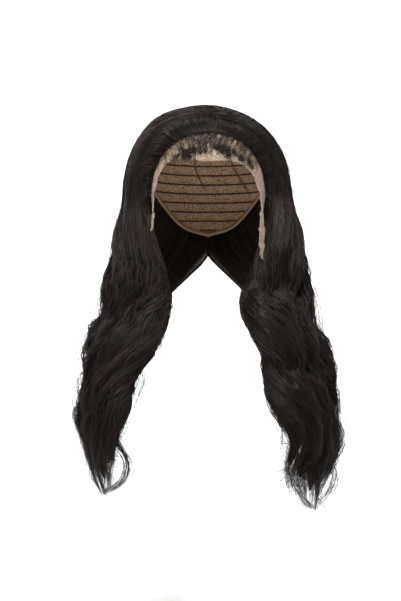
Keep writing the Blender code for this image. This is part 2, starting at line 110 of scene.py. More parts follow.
# level, front edge x y, reach of the inner face, depth of its middle, back edge x y,
# thickness, all in mm
FALLS = {
    "left": [
        (-100, 75, -32, 81, 56, 0, 98, 28),
        (-130, 74, -33, 83, 50, 0, 97, 30),
        (-165, 66, -35, 90, 38, 2, 87, 32),
        (-200, 53, -37, 93, 22, 26, 70, 33),
        (-235, 44, -43, 97, 4, 54, 47, 33),
        (-270, 48, -57, 104, -14, 78, 22, 33),
        (-305, 60, -73, 115, -34, 94, -4, 33),
        (-340, 72, -85, 122, -51, 106, -26, 32),
        (-375, 79, -93, 133, -64, 115, -44, 32),
        (-410, 93, -97, 138, -72, 122, -56, 29),
        (-445, 95, -99, 137, -77, 122, -62, 25),
        (-480, 99, -100, 136, -80, 122, -66, 19),
        (-510, 104, -100, 130, -82, 122, -68, 10),
    ],
    "right": [
        (-100, 75, -32, 81, 56, 0, 98, 29),
        (-130, 74, -33, 83, 50, 0, 97, 29),
        (-165, 66, -35, 90, 38, 2, 87, 32),
        (-200, 55, -37, 94, 22, 26, 70, 33),
        (-235, 46, -43, 101, 4, 54, 47, 33),
        (-270, 53, -57, 107, -14, 78, 22, 33),
        (-305, 68, -73, 119, -34, 96, -4, 33),
        (-340, 90, -85, 124, -51, 110, -26, 31),
        (-375, 98, -93, 133, -64, 118, -44, 31),
        (-410, 111, -97, 138, -72, 126, -56, 27),
        (-445, 115, -99, 136, -77, 127, -62, 19),
        (-490, 120, -100, 132, -80, 126, -66, 8),
    ],
}
# turn over the head, thickness left and right in mm
CROWN_THICKNESS = [
    (-20, 11, 13), (0, 9.5, 9.5), (20, 11, 13), (40, 17, 22), (60, 23, 26),
    (90, 28, 29),
]
LOCKS = 6
LOCK_ENDS = {
    "left": [0.91, 0.94, 0.97, 0.955, 0.93, 0.90],
    "right": [0.93, 0.975, 0.95, 0.93, 0.92, 0.90],
}
SIDES = {"left": (1.0, 1, 0.6), "right": (-1.0, 2, 2.4)}  # way of X, column, wave phase
NOTCH_AT = 0.76
TIP_WIDTH = 0.24
GROOVE_CROWN = 0.10
GROOVE_FALL = 0.34
GROOVE_TIP = 0.70
EDGE_ROUNDING = 0.20
EDGE_THICKNESS = 0.14
MASS_SHARE = 0.80  # of the full thickness is the mass under the outer strands
MASS_SHORT = 0.03  # share of the length by which the mass ends before its strands
WAVE_LENGTH = 106.0 * MM
WAVE_SIDEWAYS = 3.5 * MM
WAVE_DEPTH = 5.0 * MM
WAVE_DRIFT = 0.014
SECTIONS = ("front", "side", "back")

# the strands wave on their own, in shares of a side's width and of the thickness
STRAND_WAVES = 5.0
STRAND_WAVE_SIDEWAYS = 0.052
STRAND_WAVE_DEPTH = 0.26
SECTION_SWAY = 1.5 * MM
SWEPT_SWAY = 1.0 * MM
FLYAWAY_SWAY = 1.8 * MM
STRAND_LIFT = 0.6 * MM
MIDDLE_CROSSING = 4.0 * MM  # reach of single hairs over the middle line
NOTCH_DEPTH = 0.08  # share of the length by which hairs are shorter beside a lock
LONGEST_END = 0.985  # share of the length past which no strand goes
SHORT_SHARE = 0.16  # of a section's hairs end early
INNER_SHARE = 0.12  # of a section's hairs run along the inner face
SWEPT_SHORT_SHARE = 0.25
SWEPT_CLUMPS = 16

# how many points and faces each thing has
STRAND_RINGS = 26
STRAND_SIDES = 3
MASS_ROWS, MASS_COLUMNS = 64, 14
LACE_ROWS, LACE_COLUMNS = 20, 90
CAP_RINGS = 26

# fine hairs of each side, and their widths
FRINGE_HAIRS = 170
FLYAWAY_HAIRS = 200
END_CURLS = {"left": 130, "right": 60}
BABY_WIDTH = 0.38 * MM
LOOSE_WIDTH = 0.5 * MM

HAIR_SEED, LOOSE_SEED, BABY_SEED = 11, 5, 3

# rows of stitching on the cap and the levels of the first and the last, in mm
WEFT_ROWS = 11
WEFT_LEVELS = (-22, -146)

# baby hair that winds into clusters: turn over the head, degrees forward of the ears,
# radius of the cluster in mm, hairs
TUFTS = [
    (16.0, 62.5, 4.6, 26), (25.0, 61.5, 4.6, 32), (33.0, 60.5, 5.6, 40),
    (44.0, 56.5, 3.8, 18), (53.0, 53.5, 4.6, 24), (66.0, 46.0, 3.6, 20),
    (-54.0, 53.0, 3.4, 16), (-41.0, 59.6, 7.2, 112), (-29.0, 62.0, 4.4, 26),
    (-18.0, 65.0, 3.4, 16), (-7.0, 66.0, 3.0, 10),
]
# length of a degree of turn at the crown line, and of a degree forward
TURN_DEGREE = 1.54 * MM
FORWARD_DEGREE = 1.59 * MM
LACE_TURN_SHARE = 0.55  # a degree of turn is shorter on the lace, ahead of that line

# loose hairs that leave the falls: side, hairs, spread at the root and at the end, then
# rows of x, y and level, all in mm
LOOSE = [
    (1, 28, 2.4, 2.0, [
        (108, 10, -150), (121, 2, -200), (135, -8, -230), (134, -20, -255),
        (139, -28, -276), (145, -34, -297), (155, -42, -318), (160, -46, -330),
    ]),
    (1, 9, 1.2, 4.6, [
        (115, -10, -180), (132, -14, -214), (143, -22, -250), (146, -34, -290),
        (158, -44, -330),
    ]),
    (-1, 9, 1.2, 4.6, [
        (106, 0, -95), (115, -4, -125), (123, -8, -160), (127, -14, -195),
        (136, -20, -235), (140, -26, -262),
    ]),
    (-1, 7, 1.2, 4.6, [
        (110, -12, -150), (124, -16, -185), (134, -22, -225), (142, -30, -270),
        (148, -36, -300),
    ]),
    (-1, 10, 1.4, 4.0, [
        (140, -60, -340), (150, -66, -362), (153, -72, -385), (148, -76, -410),
        (140, -80, -432),
    ]),
    (-1, 34, 4.0, 1.0, [
        (118, -84, -390), (117, -92, -412), (106, -96, -430), (101, -98, -444),
        (103, -98, -458), (110, -98, -468), (122, -97, -476), (132, -96, -479),
    ]),
    (-1, 26, 4.0, 1.0, [
        (138, -80, -400), (144, -90, -421), (138, -96, -434), (130, -98, -446),
        (123, -98, -458), (123, -98, -470), (130, -97, -478),
    ]),
    (-1, 16, 3.0, 1.2, [
        (128, -84, -400), (135, -92, -416), (124, -96, -428), (117, -98, -440),
        (124, -98, -447),
    ]),
    (-1, 8, 1.4, 4.0, [
        (120, -84, -400), (111, -92, -422), (98, -96, -436), (95, -98, -452),
        (100, -98, -470),
    ]),
    (1, 22, 3.6, 1.4, [
        (140, -70, -420), (152, -72, -445), (158, -76, -462), (150, -80, -480),
        (136, -84, -494),
    ]),
    (1, 26, 4.0, 1.2, [
        (112, -96, -430), (106, -99, -452), (110, -100, -475), (122, -98, -494),
        (138, -92, -498),
    ]),
    (1, 18, 3.0, 2.6, [
        (100, -96, -415), (96, -99, -440), (98, -100, -462), (106, -98, -480),
    ]),
    (1, 14, 3.0, 3.0, [
        (128, -92, -440), (136, -94, -462), (132, -96, -480), (142, -92, -492),
        (152, -88, -494),
    ]),
    (-1, 9, 1.2, 3.6, [
        (94, -82, -300), (87, -90, -320), (80, -96, -340), (87, -97, -363),
        (98, -96, -388),
    ]),
    (1, 9, 1.2, 3.6, [
        (78, -90, -330), (75, -96, -355), (84, -98, -386), (91, -99, -410),
        (86, -99, -440),
    ]),
]
# stray hairs that leave the hairline over the forehead
STRAY = [
    (1, 6, 0.7, 0.4, [
        (-19, -80, -45), (-17.5, -93, -62), (-16.8, -99, -74), (-13, -103, -86),
        (-8, -104, -97), (-4, -104, -106),
    ]),
    (1, 8, 0.9, 0.5, [
        (22, -78, -48), (26, -87, -62), (29, -92, -74), (38.8, -90, -90),
        (45, -86, -99), (50, -81, -105), (55, -75, -112),
    ]),
]

# the sizes of the cells and lines in the finishes: real lace has cells of about 0.8 mm
# and the cap's net of about 1 mm, too fine to show, so both are drawn coarser
LACE_CELL = 1.6 * MM
NET_CELL = 2.8 * MM
MASS_LINES = 140.0  # over the map: 70 across a lock of about 45 mm, 0.6 mm each
STRAND_LINES = 90.0  # over the map, so one strand's strip takes about one of them
# sockets of a Mix node that mixes colours, by number because their names repeat
MIX_SHARE, MIX_LOW, MIX_HIGH, MIX_RESULT = 0, 6, 7, 2

# the studio: name, place, aim, diameter and power of each soft light
LIGHTS = [
    ("key_light", (-0.8, -1.5, 1.3), (0, 0, -0.1), 0.6, 40.0),
    ("fill_light", (1.4, -1.2, 1.0), (0, 0, -0.1), 0.7, 32.0),
    ("top_light", (-0.2, -0.5, 1.3), (0, 0, -0.05), 0.5, 40.0),
]
AIR_STRENGTH = 0.80
FLOOR_DROP = 140.0 * MM
CAMERA_PLACE = (-0.010, -2.0, -0.241)
PICTURE_ROWS = 601
PICTURE_ROW = 1.30  # mm of the head's middle plane that one row of the picture shows


def smooth_step(value, low, high):
    """Share from 0 at low to 1 at high with level ends."""
    s = np.clip((value - low) / (high - low), 0.0, 1.0)
    return s * s * (3.0 - 2.0 * s)


def unit(v):
    """Each vector divided by its own length."""
    return v / np.maximum(np.linalg.norm(v, axis=-1, keepdims=True), 1e-12)


def smooth_table(rows, column, where):
    """Curve through a column of a table at the places in where, with eased slopes."""
    table = np.array(rows, float)
    order = np.argsort(table[:, 0])
    x, y = table[order, 0], table[order, column]
    slope = np.gradient(y, x)
    at = np.clip(where, x[0], x[-1])
    i = np.clip(np.searchsorted(x, at, side="right") - 1, 0, len(x) - 2)
    h = x[i + 1] - x[i]
    s = (at - x[i]) / h
    return (
        y[i] * (1 + 2 * s) * (1 - s) ** 2
        + slope[i] * h * s * (1 - s) ** 2
        + y[i + 1] * s * s * (3 - 2 * s)
        + slope[i + 1] * h * s * s * (s - 1)
    )


def on_head(turn, forward, lift=0.0):
    """Point of the head ellipsoid at a turn over its front-back axis and degrees ahead
    of the ears, lifted along the normal. Past a right angle it hangs straight down."""
    a, f = np.radians(turn), np.radians(forward)
    over = np.clip(a, -math.pi / 2, math.pi / 2)
    hang = np.abs(a) - np.abs(over)
    across, along = np.cos(f) * np.sin(over), -np.sin(f) + 0.0 * over
    up = np.cos(f) * np.cos(over)
    x, y = HEAD_HALF_BREADTH * across, HEAD_HALF_LENGTH * along
    point = np.stack([x, y, CROWN_TO_EARS * (up - 1.0 - np.cos(f) * hang)], axis=-1)
    normal = unit(
        np.stack(
            [
                across / HEAD_HALF_BREADTH,
                along / HEAD_HALF_LENGTH,
                up / CROWN_TO_EARS,
            ],
            axis=-1,
        )
    )
    return point + normal * np.asarray(lift)[..., None], normal


def head_normal(point):
    """Outward normal of the head ellipsoid: each distance from its centre divided by
    the square of the half size along that axis."""
    scale = np.array([HEAD_HALF_BREADTH, HEAD_HALF_LENGTH, CROWN_TO_EARS])
    return unit((point + np.array([0.0, 0.0, CROWN_TO_EARS])) / scale**2)


def over_the_head(u, t):
    """Inner face of the hair mantle over the head: u runs from the hairline back to the
    whorl line and on round the back, t from the middle line down to the ears."""
    turn = 90.0 * np.clip(t / DOME_SHARE, 0.0, 1.0)
    hairline = smooth_table(HAIRLINE, 1, turn)
    forward = hairline + (-WHORL_BACK - hairline) * np.clip(u * 1.5, 0.0, 1.0)
    side, _ = on_head(turn, forward)
    rim, _ = on_head(turn, -WHORL_BACK * np.ones_like(turn))
    v = np.clip((u - 2.0 / 3.0) * 3.0, 0.0, 1.0)
    rim_turn = np.arctan2(
        rim[..., 0] / HEAD_HALF_BREADTH, rim[..., 1] / HEAD_HALF_LENGTH
    )
    start = CROWN_TO_EARS * (math.cos(math.radians(WHORL_BACK)) - 1.0) - WHORL_DROP
    middle = start + (NAPE_LEVEL - start) * turn / 90.0
    level = rim[..., 2] + (middle - rim[..., 2]) * v
    angle = rim_turn * (1.0 - v)
    ring = np.sqrt(np.clip(1.0 - (level / CROWN_TO_EARS + 1.0) ** 2, 0.0, 1.0))
    x = HEAD_HALF_BREADTH * ring * np.sin(angle)
    back = np.stack([x, HEAD_HALF_LENGTH * ring * np.cos(angle), level], axis=-1)
    point = np.where((u > 2.0 / 3.0)[..., None], back, side)
    return point + head_normal(point) * HAIR_CLEARANCE


def fall_plan(table, u, level):
    """Plan of a fall: half an ellipse from its front edge by its reach to its back."""
    front_x, front_y, reach, middle_y, back_x, back_y = (
        smooth_table(table, c, level / MM) * MM for c in range(1, 7)
    )
    mid_x, mid_y = (front_x + back_x) / 2, (front_y + back_y) / 2
    half_x, half_y = (front_x - back_x) / 2, (front_y - back_y) / 2
    bulge = np.sqrt(np.maximum((reach - mid_x) ** 2 - half_x**2, (4 * MM) ** 2))
    c, s = np.cos(np.pi * u), np.sin(np.pi * u)
    return mid_x + half_x * c + bulge * s, mid_y + half_y * c + (middle_y - mid_y) * s


def mantle(word, u, t):
    """Inner face of one side's hair in the frame where that side is +X."""
    table, phase = FALLS[word], SIDES[word][2]
    fall = np.maximum((t - DOME_SHARE) / (1.0 - DOME_SHARE), 0.0)
    drift = WAVE_DRIFT * np.sin(np.pi * u) * np.sin(17.0 * fall + 4.0 * u + phase)
    u = np.clip(u + drift * smooth_step(fall, 0.05, 0.5), 0.0, 1.0)
    dome = over_the_head(u, t)
    level = dome[..., 2] + (table[-1][0] * MM - dome[..., 2]) * fall
    x, y = fall_plan(table, u, level)
    w = smooth_step(t, DOME_SHARE - 0.06, DOME_SHARE + 0.10)
    x = dome[..., 0] + (x - dome[..., 0]) * w
    y = dome[..., 1] + (y - dome[..., 1]) * w
    wall = HAIR_CLEARANCE
    ring = 1.0 - ((level + CROWN_TO_EARS) / (CROWN_TO_EARS + wall)) ** 2
    r = (x / (HEAD_HALF_BREADTH + wall)) ** 2 + (y / (HEAD_HALF_LENGTH + wall)) ** 2
    push = np.sqrt(np.maximum(np.maximum(ring, 0.0) / np.maximum(r, 1e-9), 1.0))
    x, y = x * push, y * push
    ramp = smooth_step(fall, 0.08, 0.45)
    swing = 2.0 * np.pi * level / WAVE_LENGTH + phase + 1.6 * u
    x = x + WAVE_SIDEWAYS * ramp * np.sin(swing)
    y = y + WAVE_DEPTH * ramp * np.cos(swing)
    return np.stack([x, y, level], axis=-1)


def mantle_normal(word, u, t, point):
    """Outward normal: the head's own over the crown, the mantle's in the falls."""
    step = 0.012
    du = mantle(word, np.clip(u + step, 0, 1), t)
    du = du - mantle(word, np.clip(u - step, 0, 1), t)
    dt = mantle(word, u, np.clip(t + step, 0, 1.2))
    dt = dt - mantle(word, u, np.clip(t - step, 0, 1.2))
    own = unit(np.cross(dt, du))
    w = smooth_step(t, DOME_SHARE - 0.05, DOME_SHARE + 0.08)[..., None]
    return unit(head_normal(point) * (1 - w) + own * w)


def free_edge(from_edge):
    """Share of the full thickness at a distance in u from a free edge, rounded off."""
    rise = np.sin(np.pi / 2 * np.clip(from_edge / EDGE_ROUNDING, 0, 1)) ** 0.8
    return EDGE_THICKNESS + (1.0 - EDGE_THICKNESS) * rise


def full_thickness(word, u, t, level, lane=None, below=0.0):
    """Thickness of the hair: rounded free edges, a groove at each side of a lock, where
    lane is half a lock from its middle, and thin tips, where below the notch is 1."""
    if lane is None:
        lane = u * LOCKS - np.floor(u * LOCKS) - 0.5
    turn = 90.0 * np.clip(t / DOME_SHARE, 0.0, 1.0)
    crown = smooth_table(CROWN_THICKNESS, SIDES[word][1], turn) * MM
    fall = smooth_table(FALLS[word], 7, level / MM) * MM
    full = np.where(t < DOME_SHARE, crown, fall)
    groove = GROOVE_CROWN + (GROOVE_FALL - GROOVE_CROWN) * smooth_step(t, 0.2, 0.45)
    groove = groove + (GROOVE_TIP - GROOVE_FALL) * below
    lock = 1.0 - groove * (1.0 - np.abs(np.cos(np.pi * lane)) ** 0.6)
    free = smooth_step(t, 0.30, 0.45)
    back = 1.0 + (free_edge(1.0 - u) - 1.0) * free
    return full * lock * free_edge(u) * back


def lock_end(word, u):
    """Share of the length where single hairs end, shorter towards a lock's sides."""
    k = np.clip((u * LOCKS).astype(int), 0, LOCKS - 1)
    inside = np.abs(u * LOCKS - k - 0.5) * 2.0
    return np.array(LOCK_ENDS[word])[k] + 0.01 - NOTCH_DEPTH * inside**1.3


# ------------------------------------------------------------------------------- meshes
def new_piece(name, verts, groups, maps, look, slot, stands_for=()):
    """A smooth mesh from arrays of faces with the same number of corners in each array,
    with its map of (u, v) per corner, riding on the wig's one body."""
    mesh = bpy.data.meshes.new(name)
    corners = np.concatenate([g.ravel() for g in groups]).astype(np.int32)
    counts = np.concatenate([np.full(len(g), g.shape[1]) for g in groups])
    starts = np.concatenate([[0], np.cumsum(counts)[:-1]]).astype(np.int32)
    mesh.vertices.add(len(verts))
    mesh.vertices.foreach_set("co", np.ascontiguousarray(verts, np.float32).ravel())
    mesh.loops.add(len(corners))
    mesh.loops.foreach_set("vertex_index", corners)
    mesh.polygons.add(len(starts))
    mesh.polygons.foreach_set("loop_start", starts)
    mesh.update(calc_edges=True)
    layer = mesh.uv_layers.new(name=MAP)
    spots = np.concatenate([m.reshape(-1, 2) for m in maps]).astype(np.float32)
    layer.uv.foreach_set("vector", spots.ravel())
    mesh.shade_smooth()
    mesh.materials.append(look)
    piece = bpy.data.objects.new(name, mesh)
    bpy.context.scene.collection.objects.link(piece)
    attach(piece, "root")
    if stands_for:
        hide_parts(*stands_for)
    return piece


def tubes(path, lift, width, height, sides, tone, spread=0.012, ring=False):
    """Closed tubes along many paths at once. path and lift are (tubes, rings, 3) and
    width and height the half sizes of the section. Ring i of a tube has its corners at
    path + side * width * cos(k) + up * height * sin(k). On the map each tube is a strip
    at its tone, and v runs along it."""
    if ring:
        way = np.roll(path, -1, 1) - np.roll(path, 1, 1)
    else:
        way = np.gradient(path, axis=1)
    way = unit(way)
    side = unit(np.cross(way, lift))
    up = np.cross(side, way)
    k = 2 * np.pi * (np.arange(sides) + 0.5) / sides
    verts = path[:, :, None] + side[:, :, None] * (
        np.cos(k)[:, None] * width[..., None, None]
    )
    verts = verts + up[:, :, None] * (np.sin(k)[:, None] * height[..., None, None])
    n, m = path.shape[:2]
    number = np.arange(n * m * sides).reshape(n, m, sides)
    after = np.roll(number, -1, axis=2)
    u0 = tone[:, None, None] + spread * np.arange(sides) / sides + np.zeros((n, m, 1))
    u1 = u0 + spread / sides
    v = np.linspace(0.01, 0.99, m)[None, :, None] + np.zeros((n, 1, sides))
    if ring:
        low, high = slice(None), None
        a, b, c, d = number, after, np.roll(after, -1, 1), np.roll(number, -1, 1)
        v1 = v + 0.97 / m
        uv = [(u0, v), (u0, v1), (u1, v1), (u1, v)]
    else:
        low, high = slice(None, -1), slice(1, None)
        a, b, c, d = number[:, low], after[:, low], after[:, high], number[:, high]
        p, q = (u0[:, low], v[:, low]), (u0[:, low], v[:, high])
        uv = [p, q, (u1[:, low], v[:, high]), (u1[:, low], v[:, low])]
    quads = np.stack([a, d, c, b], -1).reshape(-1, 4)
    spots = np.stack([np.stack(s, -1) for s in uv], -2).reshape(-1, 4, 2)
    groups, maps = [quads], [spots]
    if not ring:
        fan = spread * (0.5 + 0.5 * np.cos(k))
        for end, order, place in ((0, 1, 0.005), (m - 1, -1, 0.995)):
            groups.append(number[:, end, ::order])
            at = np.stack(
                [
                    tone[:, None] + fan[None, ::order],
                    place + 0.004 * np.sin(k)[None, ::order] + np.zeros((n, 1)),
                ],
                -1,
            )
            maps.append(at)
    return verts.reshape(-1, 3), groups, maps


def closed_sheet(outer, inner):
    """Closed solid of an outer and an inner grid joined round their border. On the map
    the outer face fills the left half and the inner face the right half."""
    rows, cols = outer.shape[:2]
    number = np.arange(rows * cols).reshape(rows, cols)
    a, b = number[:-1, :-1].ravel(), number[:-1, 1:].ravel()
    c, d = number[1:, 1:].ravel(), number[1:, :-1].ravel()
    off = rows * cols
    verts = np.concatenate([outer.reshape(-1, 3), inner.reshape(-1, 3)])
    x, y = np.meshgrid(np.linspace(0.01, 0.49, cols), np.linspace(0.01, 0.99, rows))
    flat = np.stack([x, y], -1).reshape(-1, 2)
    spot = np.concatenate([flat, flat + (0.5, 0.0)])
    loop = np.concatenate(
        [number[0, :-1], number[:-1, -1], number[-1, :0:-1], number[:0:-1, 0]]
    )
    after = np.roll(loop, -1)
    faces = np.concatenate(
        [
            np.stack([a, b, c, d], 1),
            np.stack([d, c, b, a], 1) + off,
            np.stack([after, loop, loop + off, after + off], 1),
        ]
    )
    p = verts[faces]
    cross = np.cross(p[:, 1] - p[:, 0], p[:, 2] - p[:, 0])
    cross = cross + np.cross(p[:, 2] - p[:, 0], p[:, 3] - p[:, 0])
    if np.sum(p.mean(1) * cross) < 0:
        faces = faces[:, ::-1]
    at = spot[faces]
    edge = len(faces) - len(loop)
    # the narrow border strip keeps to the outer half so that no face crosses the map
    at[edge:] = np.where(at[edge:, :, :1] > 0.5, at[edge:] - (0.496, 0.0), at[edge:])
    return verts, [faces], [at]


# ---------------------------------------------------------------------------- materials
def linear(text):
    """Linear colour from an sRGB hex."""
    c = np.array([int(text[i : i + 2], 16) for i in (1, 3, 5)]) / 255.0
    c = np.where(c <= 0.04045, c / 12.92, ((c + 0.055) / 1.055) ** 2.4)
    return (*c.tolist(), 1.0)


def connect(tree, node, into):
    """Link or set the inputs of a node, each found by its name or number."""
    for key, value in into.items():
        if isinstance(value, bpy.types.NodeSocket):
            tree.links.new(value, node.inputs[key])
        else:
            node.inputs[key].default_value = value


def add(tree, kind, into, out=0, **settings):
    """One output, by name or number, of a new node with its settings and inputs."""
    node = tree.nodes.new(kind)
    for key, value in settings.items():
        setattr(node, key, value)
    connect(tree, node, into)
    return node.outputs[out]


def blank(name):
    """A new material, its node tree and its shader."""
    look = bpy.data.materials.new(name)
    look.use_nodes = True
    tree = look.node_tree
    return look, tree, tree.nodes["Principled BSDF"]


def hair_look(name, dark, warm, roughness, lines, shine=0.12):
    """Human hair, steam-waved and left its natural black: each strand keeps one depth
    of black with a few browner ones among them, so the falls read as many fine hairs
    with a satin sheen rather than one mass."""
    look, tree, shader = blank(name)
    place = add(tree, "ShaderNodeUVMap", {}, uv_map=MAP)
    fine = add(tree, "ShaderNodeMapping", {"Vector": place, "Scale": (lines, 3.0, 1.0)})
    grain = {"Vector": fine, "Scale": 1.0, "Detail": 2.0}
    noise = add(tree, "ShaderNodeTexNoise", grain, noise_dimensions="2D")
    clear = {"Value": noise, "From Min": 0.42, "From Max": 0.78}
    share = add(tree, "ShaderNodeMapRange", clear)
    depth = {MIX_SHARE: share, MIX_LOW: dark, MIX_HIGH: warm}
    colour = add(tree, "ShaderNodeMix", depth, MIX_RESULT, data_type="RGBA")
    satin = {"Roughness": roughness, "Specular IOR Level": shine}
    connect(tree, shader, {"Base Color": colour, **satin})
    return look, tree, shader, noise


def mass_look(name, dark, warm):
    """The hair that lies under the outer strands: combed lines sunk in shadow."""
    look, tree, shader, noise = hair_look(name, dark, warm, 0.6, MASS_LINES, 0.08)
    combed = {"Height": noise, "Strength": 0.7, "Distance": 1.2 * MM}
    connect(tree, shader, {"Normal": add(tree, "ShaderNodeBump", combed)})
    return look


def net_cells(tree, size, ragged):
    """Object coordinates and the distance from the threads of a net with cells of a
    size, whose places are ragged by a share."""
    place = add(tree, "ShaderNodeTexCoord", {}, "Object")
    cells = {"Vector": place, "Scale": 1.0 / size, "Randomness": ragged}
    near = "DISTANCE_TO_EDGE"
    return place, add(tree, "ShaderNodeTexVoronoi", cells, "Distance", feature=near)


def lace_look(name, colour):
    """Swiss lace, a knitted six-sided net dyed to skin tone: threads of a tenth of a
    millimetre round open holes, so the edge is a pale veil and not a solid band."""
    look, tree, shader = blank(name)
    place, cells = net_cells(tree, LACE_CELL, 0.5)
    ends = {"From Min": 0.05, "From Max": 0.16, "To Min": 1.0, "To Max": 0.0}
    thread = add(tree, "ShaderNodeMapRange", {"Value": cells, **ends})
    clouds = {"Vector": place, "Scale": 1.0 / (14.0 * MM), "Detail": 3.0}
    patchy = add(tree, "ShaderNodeTexNoise", clouds)
    tones = {MIX_SHARE: patchy, MIX_LOW: colour, MIX_HIGH: linear("#9f907f")}
    pale = add(tree, "ShaderNodeMix", tones, MIX_RESULT, data_type="RGBA")
    tones = {MIX_SHARE: thread, MIX_LOW: pale, MIX_HIGH: colour}
    dyed = add(tree, "ShaderNodeMix", tones, MIX_RESULT, data_type="RGBA")
    veil = {"Value": thread, "To Min": 0.14, "To Max": 0.85}
    alpha = add(tree, "ShaderNodeMapRange", veil)
    connect(tree, shader, {"Base Color": dyed, "Alpha": alpha, "Roughness": 0.7})
    return look


def net_look(name, thread_colour, hole_colour):
    """Stretch cap net, knitted in small cells over the dark wefts: brown threads with
    near black holes, so the hollow looks like cloth and not like a bowl."""
    look, tree, shader = blank(name)
    place, cells = net_cells(tree, NET_CELL, 0.85)
    ends = {"Value": cells, "From Min": 0.12, "From Max": 0.30}
    hole = add(tree, "ShaderNodeMapRange", ends)
    clouds = {"Vector": place, "Scale": 1.0 / (22.0 * MM), "Detail": 3.0}
    worn = add(tree, "ShaderNodeTexNoise", clouds)
    tones = {MIX_SHARE: worn, MIX_LOW: thread_colour, MIX_HIGH: linear("#a98a6c")}
    threads = add(tree, "ShaderNodeMix", tones, MIX_RESULT, data_type="RGBA")
    tones = {MIX_SHARE: hole, MIX_LOW: threads, MIX_HIGH: hole_colour}
    colour = add(tree, "ShaderNodeMix", tones, MIX_RESULT, data_type="RGBA")
    sunk = {"Height": hole, "Strength": 0.5, "Distance": 0.4 * MM}
    bump = add(tree, "ShaderNodeBump", sunk, invert=True)
    connect(tree, shader, {"Base Color": colour, "Normal": bump, "Roughness": 0.85})
    return look


def tape_look(name, colour):
    """Woven elastic tape: fine cross ribs drawn in colour alone, as lighter streaks across
    the tape's width that are a painted highlight where the ribs would catch light.
    """
    look, tree, shader = blank(name)
    place = add(tree, "ShaderNodeUVMap", {}, uv_map=MAP)
    ribs = {"Vector": place, "Scale": (60.0, 160.0, 1.0)}
    wide = add(tree, "ShaderNodeMapping", ribs)
    rib_highlight_grain = {"Vector": wide, "Scale": 1.0, "Detail": 1.0}
    # streaks along the tape's width that mark where the painted highlight falls
    rib_highlight_mask = add(tree, "ShaderNodeTexNoise", rib_highlight_grain, noise_dimensions="2D")
    # the lighter colour is a painted highlight on the tops of the ribs
    rib_highlight_colour = tuple(min(1.0, c * 1.7) for c in colour[:3]) + (1.0,)
    tones = {MIX_SHARE: rib_highlight_mask, MIX_LOW: colour, MIX_HIGH: rib_highlight_colour}
    ribs_with_painted_highlight = add(tree, "ShaderNodeMix", tones, MIX_RESULT, data_type="RGBA")
    connect(tree, shader, {"Base Color": ribs_with_painted_highlight, "Roughness": 0.8})
    return look


# ------------------------------------------------------------------------------- pieces
def mirrored(points, word):
    """Points of a side where they belong: X changes its sign at the wearer's right."""
    return points * np.array([SIDES[word][0], 1.0, 1.0])


def hair_mass(word, section, rows, columns):
    """Mass of a section's two locks: the mantle's inner face and a face outside it,
    combed into low ridges. Below the notch each lock narrows to its own tip."""
    row = np.linspace(0, 1, rows + 1)[:, None] * np.ones(columns + 1)
    below = np.clip((row - NOTCH_AT) / (1.0 - NOTCH_AT), 0.0, 1.0)
    lane = np.linspace(-0.49, 0.49, columns + 1) * np.ones((rows + 1, 1))
    narrow = 1.0 - (1.0 - TIP_WIDTH) * below**1.4
    verts, faces, maps = [], [], []
    for k in (0, 1):
        lock = 2 * section + k
        u = (lock + 0.5 + lane * narrow) / LOCKS
        end = LOCK_ENDS[word][lock] - MASS_SHORT
        t = np.minimum(row, NOTCH_AT) + (end - NOTCH_AT) * below
        inner = mantle(word, u, t)
        normal = mantle_normal(word, u, t, inner)
        deep = full_thickness(word, u, t, inner[..., 2], lane, below)
        deep = deep * np.maximum(np.sqrt(1.0 - below**2), 0.07)
        # about thirty combed ridges round a side, a twentieth of the thickness high
        ridge = 1.0 + 0.05 * np.sin(190.0 * u + 5.0 * np.sin(9.0 * t))
        # near the hairline the mass is thin, because the swept hair lies over it
        low = (1.0 - smooth_step(u, 0.02, 0.16)) * (1.0 - smooth_step(t, 0.2, 0.4))
        share = MASS_SHARE * (1.0 - 0.70 * low) * ridge
        outer = inner + normal * (deep * share + 0.5 * MM)[..., None]
        inner = inner + normal * 0.2 * MM
        sheet, quads, spots = closed_sheet(mirrored(outer, word), mirrored(inner, word))
        faces.append(quads[0] + sum(len(v) for v in verts))
        maps.append(spots[0] * (1.0, 0.49) + (0.0, 0.505 * k))
        verts.append(sheet)
    return np.concatenate(verts), faces, maps


def strand_points(word, u, t, deep, sway, rng):
    """Points of hairs that run over the mantle at u, t and a share deep of its
    thickness, swaying a little on their own."""
    point = mantle(word, u, t)
    normal = mantle_normal(word, u, t, point)
    thick = full_thickness(word, u, t, point[..., 2])
    slim = 1.0 - 0.62 * smooth_step(t, 0.78, 0.98)
    path = point + normal * (thick * slim * deep + STRAND_LIFT)[..., None]
    n = len(u)
    s = np.linspace(0, 1, u.shape[1])[None, :]
    # at the free edges of the falls the hairs part more from each other
    edge = 1.0 - smooth_step(np.minimum(u, 1.0 - u), 0.0, 0.07)
    edge = edge * smooth_step(t, 0.4, 0.6)
    for axis in range(3):
        size = sway * rng.normal(0, 1, (n, 1)) * (0.15 + 0.85 * s**1.5)
        size = size * (1.0 + 1.7 * edge)
        turns = rng.uniform(2.5, 6.0, (n, 1))
        wobble = size * np.sin(2 * np.pi * (turns * s + rng.random((n, 1))))
        path[..., axis] += wobble * (0.4 if axis == 2 else 1.0)
    # hairs of the two sides lie across each other at the middle line
    middle = 1.0 - smooth_step(t, 0.0, 0.07)
    path[..., 0] -= MIDDLE_CROSSING * rng.random((n, 1)) * middle
    path = path + normal * (0.5 * MM * middle)[..., None]
    return path, normal


def body_wave(t, phase, size):
    """Sideways and in-and-out parts of the body wave at t: a quarter turn apart, so a
    clump winds loosely down the fall."""
    fall = smooth_step(t, 0.26, 0.62)
    swing = 2 * np.pi * STRAND_WAVES * t + phase
    sideways = STRAND_WAVE_SIDEWAYS * size * np.sin(swing) * fall
    return sideways, STRAND_WAVE_DEPTH * size * np.cos(swing) * fall


